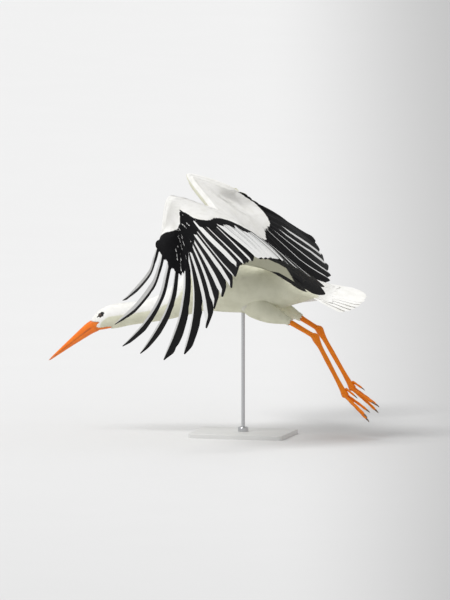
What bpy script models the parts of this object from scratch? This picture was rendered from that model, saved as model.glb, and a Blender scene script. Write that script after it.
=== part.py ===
"""White stork in flight, life size, on a plain display stand. Metres, +Z up, the bird flying towards -X, its left wing at -Y."""

import math

import bmesh
import bpy
import numpy as np
from mathutils import Vector

# ---------------------------------------------------------------- driving dimensions
GAP = 0.0003  # daylight between two solids that meet
HANG = 0.470  # height of the body's centre over the floor plane

# body centre line: x, z, half height, half width (about the body's centre)
TRUNK = [
    (-0.112, -0.009, 0.0740, 0.060),
    (-0.085, -0.003, 0.0815, 0.068),
    (-0.050, 0.002, 0.0875, 0.075),
    (-0.010, 0.006, 0.0915, 0.079),
    (0.035, 0.006, 0.0905, 0.079),
    (0.080, 0.004, 0.0850, 0.074),
    (0.120, 0.001, 0.0740, 0.066),
    (0.160, -0.002, 0.0600, 0.056),
    (0.200, -0.006, 0.0440, 0.047),
    (0.235, -0.011, 0.0300, 0.046),
    (0.262, -0.014, 0.0170, 0.047),
]
NECK = [
    (-0.352, -0.098, 0.0355, 0.0290),
    (-0.325, -0.094, 0.0350, 0.0290),
    (-0.297, -0.089, 0.0355, 0.0300),
    (-0.262, -0.080, 0.0385, 0.0330),
    (-0.228, -0.069, 0.0430, 0.0370),
    (-0.198, -0.055, 0.0495, 0.0425),
    (-0.172, -0.042, 0.0560, 0.0480),
    (-0.145, -0.027, 0.0640, 0.0540),
    (-0.112, -0.009, 0.0740, 0.0600),
]
NECK_CUTS = (3, 5)  # stations where one length of the neck meets the next
HEAD = [
    (-0.4655, -0.1385, 0.0200, 0.0160),
    (-0.4570, -0.1325, 0.0245, 0.0200),
    (-0.4450, -0.1250, 0.0300, 0.0250),
    (-0.4290, -0.1165, 0.0345, 0.0290),
    (-0.4100, -0.1095, 0.0370, 0.0310),
    (-0.3880, -0.1045, 0.0375, 0.0315),
    (-0.3700, -0.1010, 0.0365, 0.0305),
    (-0.3520, -0.0980, 0.0355, 0.0290),
]
BILL_BASE = (-0.4675, -0.1393)
BILL_TIP = (-0.6120, -0.2510)
BILL_DEEP, BILL_WIDE = 0.0395, 0.0280
EYE = (-0.4410, 0.0183, -0.1030)
EYE_R = 0.0068

TAIL_ROLL = 24.0  # degrees, left edge down
TAIL_SPREAD = 15.0  # degrees each side
TAIL_ROOT = 0.0465
TAIL_ROUND = 0.36  # how much shorter the outermost feathers are

# wing bones: shoulder, elbow, wrist, end of the hand
LEFT_BONES = [(-0.090, -0.077, 0.080), (0.006, -0.222, 0.231), (-0.130, -0.366, 0.309), (-0.154, -0.396, 0.160)]
RIGHT_BONES = [(-0.090, 0.077, 0.080), (-0.101, 0.250, 0.150), (-0.268, 0.376, 0.299), (-0.118, 0.414, 0.251)]
BONE_THICK = (0.042, 0.034, 0.022, 0.013)
WRIST_LEAD = 0.026  # from the bone to the leading edge at the wrist
HAND_LEAD = {"left": (0.016, 0.009), "right": (0.026, 0.014)}  # and along the hand, wrist to end
FOLD = {"left": 1.0, "right": 0.25}  # how much of the web between shoulder and wrist is stretched ahead of the elbow
# feather tips, body outward: two scapulars, five tertials, twelve secondaries, ten primaries
LEFT_TIPS = [
    (0.150, -0.080, 0.056), (0.195, -0.094, 0.022),
    (0.241, -0.120, -0.003), (0.311, -0.160, -0.004), (0.317, -0.195, 0.022), (0.294, -0.232, 0.047), (0.259, -0.268, 0.078),
    (0.234, -0.297, 0.095), (0.218, -0.317, 0.108), (0.193, -0.337, 0.116), (0.179, -0.354, 0.119), (0.165, -0.369, 0.120),
    (0.153, -0.382, 0.121), (0.138, -0.393, 0.117), (0.126, -0.403, 0.113), (0.117, -0.411, 0.109), (0.106, -0.418, 0.105),
    (0.098, -0.424, 0.096), (0.093, -0.430, 0.071), (0.082, -0.436, 0.037), (0.054, -0.441, 0.009), (0.030, -0.447, -0.028),
    (0.005, -0.456, -0.091), (-0.059, -0.473, -0.168), (-0.114, -0.515, -0.183), (-0.171, -0.585, -0.157), (-0.212, -0.645, -0.129),
    (-0.225, -0.690, -0.058), (-0.198, -0.700, 0.018),
]  # fmt: skip
RIGHT_TIPS = [
    (0.120, 0.084, 0.060), (0.140, 0.092, 0.036),
    (0.160, 0.102, 0.014), (0.200, 0.120, -0.020), (0.194, 0.145, -0.016), (0.167, 0.165, -0.014), (0.135, 0.190, -0.010),
    (0.105, 0.220, -0.004), (0.092, 0.235, 0.003), (0.078, 0.250, 0.011), (0.065, 0.265, 0.018), (0.052, 0.280, 0.026),
    (0.038, 0.295, 0.033), (0.025, 0.310, 0.041), (0.012, 0.325, 0.048), (-0.002, 0.340, 0.056), (-0.015, 0.355, 0.063),
    (-0.025, 0.370, 0.068), (-0.020, 0.385, 0.066),
    (-0.004, 0.400, 0.056), (0.017, 0.415, 0.041), (0.043, 0.430, 0.020), (0.076, 0.450, -0.007), (0.113, 0.470, -0.029),
    (0.144, 0.500, -0.040), (0.158, 0.540, -0.031), (0.135, 0.600, 0.005), (0.107, 0.630, 0.037), (0.088, 0.625, 0.077),
]  # fmt: skip
# how far each feather bows off the straight line, as a fraction of its length, same order
BOW_ARM = 0.07
LEFT_BOW = [0.05, 0.07, 0.10, 0.12, 0.14, 0.15, 0.15, 0.14, 0.12, 0.08]
RIGHT_BOW = [0.06, 0.06, 0.06, 0.06, 0.06, 0.06, 0.06, 0.07, 0.07, 0.07]
TERTIALS, SECONDARIES, PRIMARIES = 7, 12, 10  # the first two of the tertials are scapulars, rooted at the shoulder
# where each pair of neighbouring feathers parts, as a row number out of ROWS
ROWS = (0.0, 0.10, 0.24, 0.40, 0.54, 0.67, 0.80, 0.91, 1.0)
ROW_THICK = (1.0, 0.72, 0.42, 0.25, 0.17, 0.13, 0.10, 0.08, 0.065)
LEFT_SWEEP, RIGHT_SWEEP = 0.65, -0.25  # the left hand's feathers bow inward along the fan, the right's outward
LEFT_PARTS = [6] * 18 + [6, 6, 6, 5, 5, 4, 4, 3, 3, 3]
RIGHT_PARTS = [6] * 18 + [6, 6, 6, 6, 6, 6, 6, 6, 5, 5]
FREE_WIDTH = {3: 1.0, 4: 0.92, 5: 0.84, 6: 0.76, 7: 0.62, 8: 0.22}
WEBS = {"r": 0.55, "l": 1.50}  # a spread primary's narrow leading web and broad trailing web, set against equal ones
SPREAD_FROM = {"left": 21, "right": 29}  # the first primary spread so far that its webs show
LEAD_VANE = 0.011

# legs, left side: feathered thigh, bare shank, tarsus, toes; the right leg trails a little higher
LEGS = {
    "left": dict(side=-1, hip=(0.030, 0.044, -0.040), knee=(0.100, 0.047, -0.078), thigh_end=(0.161, 0.045, -0.101),
                 ankle=(0.250, 0.045, -0.150), foot=(0.344, 0.045, -0.324), toes=(0.430, -0.407)),
    "right": dict(side=1, hip=(0.034, 0.044, -0.036), knee=(0.106, 0.047, -0.072), thigh_end=(0.171, 0.045, -0.095),
                  ankle=(0.241, 0.045, -0.136), foot=(0.345, 0.045, -0.312), toes=(0.436, -0.386)),
}  # fmt: skip

# stand
BASE_SIZE = (0.300, 0.220, 0.014)
BASE_ROUND = 0.012
ROD_R = 0.0055
COLLAR_R, COLLAR_H = 0.016, 0.014
ROD_X = 0.010  # the rod stands under the bird's centre of mass
BASE_X = 0.010


# ---------------------------------------------------------------- mesh helpers
def solid(name, verts, faces):
    mesh = bpy.data.meshes.new(name)
    mesh.from_pydata([tuple(map(float, v)) for v in verts], [], [tuple(int(i) for i in f) for f in faces])
    bm = bmesh.new()
    bm.from_mesh(mesh)
    bmesh.ops.recalc_face_normals(bm, faces=bm.faces)
    bm.to_mesh(mesh)
    bm.free()
    obj = bpy.data.objects.new(name, mesh)
    bpy.context.scene.collection.objects.link(obj)
    return obj


def skin_rings(rings):
    """Vertices and faces of a closed loft through rings of equal length, capped by fans."""
    rings = [np.asarray(r, float) for r in rings]
    n = len(rings[0])
    verts = np.concatenate(rings + [[rings[0].mean(0)], [rings[-1].mean(0)]])
    faces = []
    for k in range(len(rings) - 1):
        for i in range(n):
            j = (i + 1) % n
            faces.append((k * n + i, k * n + j, (k + 1) * n + j, (k + 1) * n + i))
    first, last = len(rings) * n, len(rings) * n + 1
    for i in range(n):
        j = (i + 1) % n
        faces.append((first, j, i))
        faces.append((last, (len(rings) - 1) * n + i, (len(rings) - 1) * n + j))
    return verts, faces


def place(p):
    return np.array([p[0], p[1], p[2] + HANG])


def unit(v):
    return np.asarray(v, float) / max(np.linalg.norm(v), 1e-12)


def rolled(side, up, x):
    """The rump and tail roll toward the left, from nothing at the hips to the whole roll at the tail's root."""
    w = min(max((x - 0.12) / 0.142, 0.0), 1.0)
    a = math.radians(TAIL_ROLL) * w * w * (3 - 2 * w)
    return side * math.cos(a) + up * math.sin(a), up * math.cos(a) - side * math.sin(a)


def body_rings(stations, count, grow=0.0, squash=2.1):
    """Rings square to a centre line in the XZ plane, each a superellipse."""
    pts = np.array([(s[0], 0.0, s[1]) for s in stations])
    rings = []
    for k, (_, _, high, wide) in enumerate(stations):
        a, b = max(k - 1, 0), min(k + 1, len(stations) - 1)
        along = unit(pts[b] - pts[a])
        up = np.array([-along[2], 0.0, along[0]])
        side, up = rolled(np.array([0.0, 1.0, 0.0]), up, pts[k][0])
        ring = []
        for i in range(count):
            t = 2 * math.pi * (i + 0.5) / count
            c, s = math.cos(t), math.sin(t)
            y = math.copysign(abs(c) ** (2 / squash), c) * (wide + grow)
            z = math.copysign(abs(s) ** (2 / squash), s) * (high + grow)
            ring.append(pts[k] + up * z + side * y)
        rings.append(np.array([place(p) for p in ring]))
    return rings


def pull_back(rings, index, toward, dist=GAP / 2):
    """Moves the end ring a hair toward its neighbour, to leave daylight."""
    step = unit(rings[toward].mean(0) - rings[index].mean(0))
    rings[index] = rings[index] + step * dist


def tube_rings(points, radii, count, flat=1.0, first=None, last=None):
    """Rings round a bent line, with flat squashing them across Y; first and last turn the end rings."""
    pts = [np.asarray(p, float) for p in points]
    rings = []
    for k, p in enumerate(pts):
        along = unit(pts[min(k + 1, len(pts) - 1)] - pts[max(k - 1, 0)])
        along = first if k == 0 and first is not None else along
        along = last if k == len(pts) - 1 and last is not None else along
        side = unit(np.cross(along, [0.0, 0.0, 1.0])) if abs(along[2]) < 0.98 else np.array([0.0, 1.0, 0.0])
        up = np.cross(side, along)
        rings.append(
            np.array(
                [
                    place(p + side * math.cos(t) * radii[k] * flat + up * math.sin(t) * radii[k])
                    for t in (2 * math.pi * (i + 0.5) / count for i in range(count))
                ]
            )
        )
    return rings


def cut_from(obj, cutter_name, verts, faces):
    cutter = solid(cutter_name, verts, faces)
    cutter.hide_render = True
    cutter.display_type = "WIRE"
    boolean = obj.modifiers.new("cut_" + cutter_name, "BOOLEAN")
    boolean.operation = "DIFFERENCE"
    boolean.solver = "EXACT"
    boolean.object = cutter
    return cutter


def ball(centre, radius, rings=6, count=12, axis=(0.0, 1.0, 0.0)):
    """A closed sphere about an axis."""
    axis = unit(axis)
    side = unit(np.cross(axis, (0.3, 0.1, 1.0)))
    up = np.cross(axis, side)
    centre = np.asarray(centre, float)
    loops = []
    for k in range(1, rings):
        a = math.pi * k / rings
        loops.append(
            np.array(
                [
                    centre
                    + axis * math.cos(a) * radius
                    + (side * math.cos(t) + up * math.sin(t)) * math.sin(a) * radius
                    for t in (2 * math.pi * i / count for i in range(count))
                ]
            )
        )
    verts, faces = skin_rings(loops)
    verts[-2], verts[-1] = centre + axis * radius, centre - axis * radius
    return verts, faces


# ---------------------------------------------------------------- wings
def curve_point(knots, times, t):
    """Position on a smooth line through the knots at their times."""
    n = len(knots)
    k = min(max(np.searchsorted(times, t) - 1, 0), n - 2)

    def tangent(i):
        if i == 0:
            return (knots[1] - knots[0]) / (times[1] - times[0])
        if i == n - 1:
            return (knots[-1] - knots[-2]) / (times[-1] - times[-2]) * 1.5 - tangent(n - 2) * 0.5
        before = (knots[i] - knots[i - 1]) / (times[i] - times[i - 1])
        after = (knots[i + 1] - knots[i]) / (times[i + 1] - times[i])
        w = (times[i] - times[i - 1]) / (times[i + 1] - times[i - 1])
        return before * (1 - w) + after * w

    h = times[k + 1] - times[k]
    u = (t - times[k]) / h
    a, b = tangent(k), tangent(k + 1)
    return (
        knots[k] * (2 * u**3 - 3 * u**2 + 1)
        + knots[k + 1] * (3 * u**2 - 2 * u**3)
        + a * h * (u**3 - 2 * u**2 + u)
        + b * h * (u**3 - u**2)
    )


def rib_line(front, bone, tip, bow):
    """The chord line of one feather at every row: two rows ahead of the bone, then ROWS behind it."""
    mid = (bone + tip) / 2 + bow
    lengths = np.linalg.norm(bone - front), np.linalg.norm(tip - bone)
    knots = [front, bone, mid, tip]
    times = [-lengths[0], 0.0, lengths[1] / 2, lengths[1]]
    at = [-lengths[0], -0.5 * lengths[0]] + [r * lengths[1] for r in ROWS]
    return np.array([curve_point(knots, times, t) for t in at])


def soften(values, passes):
    """Each row of values eased toward its neighbours, the two ends held."""
    out = np.array(values, float)
    for _ in range(passes):
        eased = out.copy()
        eased[1:-1] = out[1:-1] * 0.5 + (out[:-2] + out[2:]) * 0.25
        out = eased
    return out


def wing(side, bones, tips, hand_bow, hand_parts, sweep):
    """The whole wing as one mid surface with thickness, then the three lengths cut from it."""
    shoulder, elbow, wrist, end = [np.array(b) for b in bones]
    tips = [np.array(t) for t in tips]
    sign = -1.0 if side == "left" else 1.0
    count = TERTIALS + SECONDARIES + PRIMARIES
    lift = unit(wrist - shoulder)
    fronts, roots, bows, thick = [], [], [], []
    for i in range(count):
        if i < TERTIALS:
            w = -0.02 + 0.96 * (i + 0.5) / TERTIALS
            bone = shoulder * (1 - w) + elbow * w
            deep = BONE_THICK[0] * (1 - w) + BONE_THICK[1] * w
            foot = shoulder + lift * float(np.dot(bone - shoulder, lift))
            front = foot + unit(foot - bone) * 0.012 if np.linalg.norm(foot - bone) > 0.02 else bone - np.array([0.03, 0, 0])
            front = bone + (front - bone) * (1 - max(w, 0.0) * (1 - FOLD[side]))
        elif i < TERTIALS + SECONDARIES:
            w = (i - TERTIALS + 0.35) / SECONDARIES
            bone = elbow * (1 - w) + wrist * w
            deep = BONE_THICK[1] * (1 - w) + BONE_THICK[2] * w
            foot = shoulder + lift * min(float(np.dot(bone - shoulder, lift)), np.linalg.norm(wrist - shoulder))
            ahead = unit(bone - tips[i]) * WRIST_LEAD
            front = (foot + unit(foot - bone) * 0.010) * (1 - w) + (bone + ahead) * w
            front = bone + (front - bone) * (FOLD[side] + (1 - FOLD[side]) * max(0.0, (w - 0.55) / 0.45))
        else:
            w = (i - TERTIALS - SECONDARIES + 0.6) / PRIMARIES
            bone = wrist * (1 - w) + end * w
            deep = BONE_THICK[2] * (1 - w) + BONE_THICK[3] * w
            reach = unit(bone - tips[i])
            out = unit(end - wrist)
            ahead = unit(reach * (1 - 0.6 * w) + unit(bone - elbow) * 0.8 * (1 - w) + out * 0.8 * w)
            front = bone + ahead * (HAND_LEAD[side][0] * (1 - w) + HAND_LEAD[side][1] * w)
        fronts.append(front)
        roots.append(bone)
        thick.append(deep)
    for i in range(count):
        chord = tips[i] - roots[i]
        near = tips[min(i + 1, count - 1)] - tips[max(i - 1, 0)]
        dorsal = unit(np.cross(near, chord)) * -sign
        if i < TERTIALS + SECONDARIES:
            bows.append(dorsal * BOW_ARM * np.linalg.norm(chord))
        else:
            inward = unit(tips[TERTIALS + SECONDARIES] - tips[-1])
            inward = unit(inward - unit(chord) * float(np.dot(inward, unit(chord))))
            part = hand_bow[i - TERTIALS - SECONDARIES] * np.linalg.norm(chord)
            bows.append((dorsal * 0.75 + inward * sweep) * part)
    bows, fronts, roots = (soften(np.array(v), 2) for v in (bows, fronts, roots))
    lines = np.array([rib_line(f, r, t, b) for f, r, t, b in zip(fronts, roots, tips, bows)])
    thick = np.array(thick)
    rows = lines.shape[1]
    calm = soften(lines, 2)
    for k in range(rows - 1):
        keep = max(0.0, (k - 4) / (rows - 5))
        lines[:, k] = calm[:, k] * (1 - keep) + lines[:, k] * keep
    # boundary lines: between neighbours, and one beyond each end
    bounds = [lines[0] + (lines[0] - lines[1]) * 0.4]
    bounds += [(lines[i] + lines[i + 1]) / 2 for i in range(count - 1)]
    bounds.append(np.array([a + unit(a - b) * LEAD_VANE for a, b in zip(lines[-1], lines[-2])]))
    parts_at = [0] + [p + 2 for p in hand_parts] + [0]
    parts_at[0] = parts_at[1]
    parts_at[-1] = parts_at[-2]

    verts, deep, line_of = [], [], {}

    def put(key, pos, d):
        line_of[key] = len(verts)
        verts.append(pos)
        deep.append(d)

    def depth(i, k):
        base = thick[min(max(i, 0), count - 1)]
        if k == 0:
            return 0.005
        if k == 1:
            return 0.45 * base
        return max(base * ROW_THICK[k - 2], 0.0016)

    for i in range(count):
        for k in range(rows):
            put(("m", i, k), lines[i][k], depth(i, k))
    for j in range(count + 1):
        for k in range(parts_at[j] + 1):
            put(("b", j, k), bounds[j][k], depth(j, k))
    for j in range(count + 1):
        split = parts_at[j]
        for i, which in ((j - 1, "r"), (j, "l")):
            if not 0 <= i < count:
                continue
            line = lines[i]
            tangent = [unit(line[min(k + 1, rows - 1)] - line[k - 1]) for k in range(1, rows)]
            tangent = [tangent[0]] + tangent
            offset = bounds[j][split] - line[split]
            along = float(np.dot(offset, tangent[split]))
            across = offset - tangent[split] * along
            for k in range(split + 1, rows):
                narrow = FREE_WIDTH[k - 2] / FREE_WIDTH[split - 2] if k - 2 in FREE_WIDTH else 1.0
                turn = across - tangent[k] * float(np.dot(across, tangent[k]))
                web = 1.0 + (WEBS[which] - 1.0) * min(1.0, (k - split) / 2) if i >= SPREAD_FROM[side] else 1.0
                turn = unit(turn) * np.linalg.norm(across) * narrow * web
                drop = -0.010 if k == rows - 1 else 0.0
                put((which, i, k), line[k] + turn + tangent[k] * (along * 0.3 + drop), depth(i, k))

    def edge(i, k, which):
        j = i + 1 if which == "r" else i
        return line_of[("b", j, k)] if k <= parts_at[j] else line_of[(which, i, k)]

    quads, owner = [], []
    for i in range(count):
        for k in range(rows - 1):
            quads.append((edge(i, k, "l"), line_of[("m", i, k)], line_of[("m", i, k + 1)], edge(i, k + 1, "l")))
            quads.append((line_of[("m", i, k)], edge(i, k, "r"), edge(i, k + 1, "r"), line_of[("m", i, k + 1)]))
            owner += [i, i]
    verts, deep, quads, owner = np.array(verts), np.array(deep), np.array(quads), np.array(owner)
    normals = np.zeros_like(verts)
    for q in quads:
        n = np.cross(verts[q[2]] - verts[q[0]], verts[q[3]] - verts[q[1]])
        for v in q:
            normals[v] += n
    normals /= np.linalg.norm(normals, axis=1)[:, None]

    cuts = (0, TERTIALS, TERTIALS + SECONDARIES, count)
    made = {}
    for name, a, b in (("upper_arm", *cuts[0:2]), ("forearm", *cuts[1:3]), ("hand", *cuts[2:4])):
        mine = quads[(owner >= a) & (owner < b)]
        used, index = np.unique(mine, return_inverse=True)
        index = index.reshape(mine.shape)
        pos, nor, dep = verts[used].copy(), normals[used], deep[used]
        where = {int(v): s for s, v in enumerate(used)}
        for j, i in ((a, a), (b, b - 1)):
            if 0 < j < count:
                for k in range(parts_at[j] + 1):
                    s = where[line_of[("b", j, k)]]
                    pos[s] = pos[s] + unit(lines[i][k] - pos[s]) * 0.00028
        n = len(pos)
        both = np.concatenate([pos + nor * dep[:, None] / 2, pos - nor * dep[:, None] / 2])
        faces = [tuple(f) for f in index] + [tuple(n + v for v in f[::-1]) for f in index]
        edges = {}
        for f in index:
            for s in range(4):
                e = (int(f[s]), int(f[(s + 1) % 4]))
                edges[e] = edges.get(e, 0) + 1
        for u, v in edges:
            if (v, u) not in edges:  # the same diagonal on both sides of a parting
                u, v = min(u, v), max(u, v)
                faces += [(u, v, n + v), (u, n + v, n + u)]
        both = np.array([place(p) for p in both])
        made[name] = solid(f"wing_{side}_{name}", both, faces)
    return made


# ---------------------------------------------------------------- body
def make_body():
    """Head, three lengths of neck and the trunk, all parted from one chain of rings."""
    chain = HEAD[:-1] + NECK[:-1] + TRUNK
    rings = body_rings(chain, 20, squash=2.1)
    h, n = len(HEAD) - 1, len(NECK) - 1
    spans = {
        "head": (0, h),
        "neck_upper": (h, h + NECK_CUTS[0]),
        "neck_middle": (h + NECK_CUTS[0], h + NECK_CUTS[1]),
        "neck_lower": (h + NECK_CUTS[1], h + n),
        "trunk": (h + n, len(chain) - 1),
    }
    made = {}
    for name, (a, b) in spans.items():
        mine = [r.copy() for r in rings[a : b + 1]]
        if name != "head":
            pull_back(mine, 0, 1)
        pull_back(mine, -1, -2)
        made[name] = solid(name, *skin_rings(mine))
    for side, s in (("left", -1.0), ("right", 1.0)):
        centre = place((EYE[0], s * EYE[1], EYE[2]))
        solid("eye_" + side, *ball(centre, EYE_R))
        cut_from(made["head"], "socket_" + side, *ball(centre, EYE_R + GAP * 1.5))


def trunk_cutter():
    chain = HEAD[:-1] + NECK[:-1] + TRUNK
    rings = body_rings(chain, 20, grow=GAP * 1.4, squash=2.1)
    return skin_rings(rings[len(HEAD) + len(NECK) - 4 :])


def make_bill():
    base = np.array([BILL_BASE[0], 0.0, BILL_BASE[1]])
    tip = np.array([BILL_TIP[0], 0.0, BILL_TIP[1]])
    along = unit(tip - base)
    up = np.array([-along[2], 0.0, along[0]])
    up = up if up[2] > 0 else -up
    length = float(np.linalg.norm(tip - base))
    stations = ((0.004, 1.0), (0.12, 0.90), (0.28, 0.74), (0.46, 0.57), (0.64, 0.41), (0.80, 0.27), (0.92, 0.16), (1.0, 0.06))
    for name, sign, share in (("bill_upper", 1.0, 0.55), ("bill_lower", -1.0, 0.45)):
        rings = []
        for u, f in stations:
            end = length * (u if sign > 0 else min(u, 0.985))
            high = BILL_DEEP * share * f
            wide = BILL_WIDE / 2 * f
            split = BILL_DEEP * 0.05 * f * sign * 0 + 0.001 * math.sin(math.pi * u)
            ring = []
            for i in range(8):
                t = math.pi * i / 7
                ring.append(
                    base
                    + along * end
                    + up * (split + sign * (GAP / 2 + high * math.sin(t) ** 0.85))
                    + np.array([0.0, math.cos(t) * wide, 0.0])
                )
            rings.append(np.array([place(p) for p in ring]))
        solid(name, *skin_rings(rings))


def make_tail():
    """A fan of six strips rolled a little toward the left, closed and tapering to the tips."""
    back = unit((TRUNK[-1][0] - TRUNK[-2][0], 0.0, TRUNK[-1][1] - TRUNK[-2][1]))
    root = np.array([TRUNK[-1][0], 0.0, TRUNK[-1][1]]) + back * GAP / 2
    along = unit((0.138, 0.0, -0.032))
    root_side, root_up = rolled(np.array([0.0, 1.0, 0.0]), np.array([-back[2], 0.0, back[0]]), root[0])
    side, up = rolled(np.array([0.0, 1.0, 0.0]), np.array([-along[2], 0.0, along[0]]), root[0])
    strips = 8
    rows = (0.0, 0.030, 0.065, 0.095, 0.118, 0.131, 0.140)
    spread = math.radians(TAIL_SPREAD)
    verts, deep, key = [], [], {}

    def put(k, pos, d):
        key[k] = len(verts)
        verts.append(pos)
        deep.append(d)

    def point(u, r, reach=1.0):
        if r == 0:
            return root + root_side * (u * TAIL_ROOT)
        a = spread * u
        half = TAIL_ROOT
        d = rows[r] * reach * (1.0 - TAIL_ROUND * abs(u) ** 2.2 * (rows[r] / rows[-1]))
        p = root + side * (u * half + math.sin(a) * d) + along * math.cos(a) * d
        return p + up * (0.010 * (1 - u * u) * (d / 0.138) - 0.012 * u * u * (d / 0.138))

    def depth(r, u):
        root_deep = 2 * 0.0165 * math.sqrt(max(1 - (abs(u)) ** 2.2, 0.02))
        return (root_deep, root_deep * 0.62, root_deep * 0.34 + 0.0010, 0.0042, 0.0030, 0.0024, 0.0018)[r]

    n_rows = len(rows)
    for s in range(2 * strips + 1):
        u = s / strips - 1.0
        middle = s % 2 == 1
        for r in range(n_rows):
            if middle or r < n_rows - 2:
                put((s, r), point(u, r), max(depth(r, u), 0.0018))
    for s in range(1, 2 * strips, 2):
        for e in (s - 1, s + 1):
            u = (s + (e - s) * 0.86) / strips - 1.0
            put((s, e, n_rows - 2), point(u, n_rows - 2, 0.985), 0.0020)
            u = (s + (e - s) * 0.42) / strips - 1.0
            put((s, e, n_rows - 1), point(u, n_rows - 1, 0.985), 0.0018)
    quads = []
    for s in range(1, 2 * strips, 2):
        for r in range(n_rows - 1):
            ends = []
            for e in (s - 1, s + 1):
                a = key[(e, r)] if r < n_rows - 2 else key[(s, e, r)]
                b = key[(e, r + 1)] if r + 1 < n_rows - 2 else key[(s, e, r + 1)]
                ends.append((a, b))
            quads.append((ends[0][0], key[(s, r)], key[(s, r + 1)], ends[0][1]))
            quads.append((key[(s, r)], ends[1][0], ends[1][1], key[(s, r + 1)]))
    verts, deep = np.array(verts), np.array(deep)
    n = len(verts)
    seam = {key[(s, 0)] for s in range(2 * strips + 1)}
    lean = np.array([root_up if i in seam else up for i in range(n)])
    both = np.concatenate([verts + lean * deep[:, None] / 2, verts - lean * deep[:, None] / 2])
    faces = [tuple(q) for q in quads] + [tuple(n + v for v in q[::-1]) for q in quads]
    edges = set()
    for q in quads:
        for t in range(4):
            edges.add((q[t], q[(t + 1) % 4]))
    faces += [(v, u, n + u, n + v) for u, v in edges if (v, u) not in edges]
    solid("tail", np.array([place(p) for p in both]), faces)


def make_leg(name, leg, trunk_cut):
    s = leg["side"]

    def at(p, dy=0.0):
        return np.array([p[0], s * (p[1] + dy), p[2]])

    hip, knee, thigh_end = at(leg["hip"]), at(leg["knee"]), at(leg["thigh_end"])
    ankle, foot = at(leg["ankle"]), at(leg["foot"])
    line = [hip, hip * 0.5 + knee * 0.5, knee, knee * 0.45 + thigh_end * 0.55, thigh_end]
    step = unit(ankle - thigh_end)
    rings = tube_rings(line, (0.043, 0.041, 0.033, 0.024, 0.0135), 14, flat=0.72, last=step)
    thigh = solid(f"thigh_{name}", *skin_rings(rings))
    cut_from(thigh, f"trunk_cut_{name}", *trunk_cut)
    # bare shank
    start, stop = thigh_end + step * GAP, ankle - step * 0.0105
    line = [start + (stop - start) * t for t in (0.0, 0.3, 0.7, 1.0)]
    solid(f"shank_{name}", *skin_rings(tube_rings(line, (0.0088, 0.0082, 0.0077, 0.0078), 10)))
    down = unit(foot - ankle)
    aim = unit((leg["toes"][0] - leg["foot"][0], 0.0, leg["toes"][1] - leg["foot"][2]))
    pad = foot + down * 0.006
    lift = np.array([-aim[2], 0.0, aim[0]])
    lift = lift if lift[0] > 0 else -lift
    # tarsus with the ankle joint at its top and the foot's pad at its end
    turn = unit(step + down)
    line = [
        stop + step * GAP,
        ankle - step * 0.004,
        ankle + turn * 0.002,
        ankle + down * 0.010,
        ankle + down * 0.026,
        ankle + down * 0.085,
        foot - down * 0.030,
        foot - down * 0.010,
        foot,
        foot + down * 0.006,
    ]
    radii = (0.0078, 0.0112, 0.0128, 0.0120, 0.0092, 0.0078, 0.0078, 0.0092, 0.0112, 0.0118)
    rings = tube_rings(line, radii, 9, first=step, last=aim)
    solid(f"tarsus_{name}", *skin_rings(rings))
    # toes trail together behind the foot
    plan = (
        ("toe_1", 0.028, 0.0040, 0.0, 0.0088, 7.0, 0.0),
        ("toe_2", 0.080, 0.0051, -1.0, 0.0000, 9.0, -5.0),
        ("toe_3", 0.099, 0.0055, 0.0, -0.0020, -1.0, 0.0),
        ("toe_4", 0.088, 0.0051, 1.0, 0.0000, 4.0, 6.0),
    )
    for toe, length, radius, across, rise, tilt, yaw in plan:
        t, w = math.radians(tilt), math.radians(yaw)
        way = aim * math.cos(t) * math.cos(w) + lift * math.sin(t) + np.array([0.0, s * math.sin(w), 0.0])
        way = unit(way)
        origin = pad + np.array([0.0, s * across * 0.0113, 0.0]) + lift * rise + aim * 0.0011
        if toe == "toe_1":
            origin = foot + lift * 0.0150 + aim * 0.0010
        curl = unit(way + np.array([0.10, 0.0, -0.20]))
        line = [
            origin,
            origin + way * length * 0.33,
            origin + way * length * 0.66,
            origin + way * length * 0.66 + unit(way + curl) * length * 0.34,
        ]
        end, push = line[-1], unit(way + curl)
        radii = (radius, radius * 0.90, radius * 0.94, radius * 0.62)
        solid(f"{toe}_{name}", *skin_rings(tube_rings(line, radii, 8, last=push)))
        bend = unit(push + np.array([0.10, 0.0, -0.45]))
        nail = [end + push * GAP, end + push * 0.006, end + push * 0.006 + bend * 0.0055]
        solid(f"claw_{toe[-1]}_{name}", *skin_rings(tube_rings(nail, (radius * 0.52, radius * 0.40, 0.0006), 6, first=push)))


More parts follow.
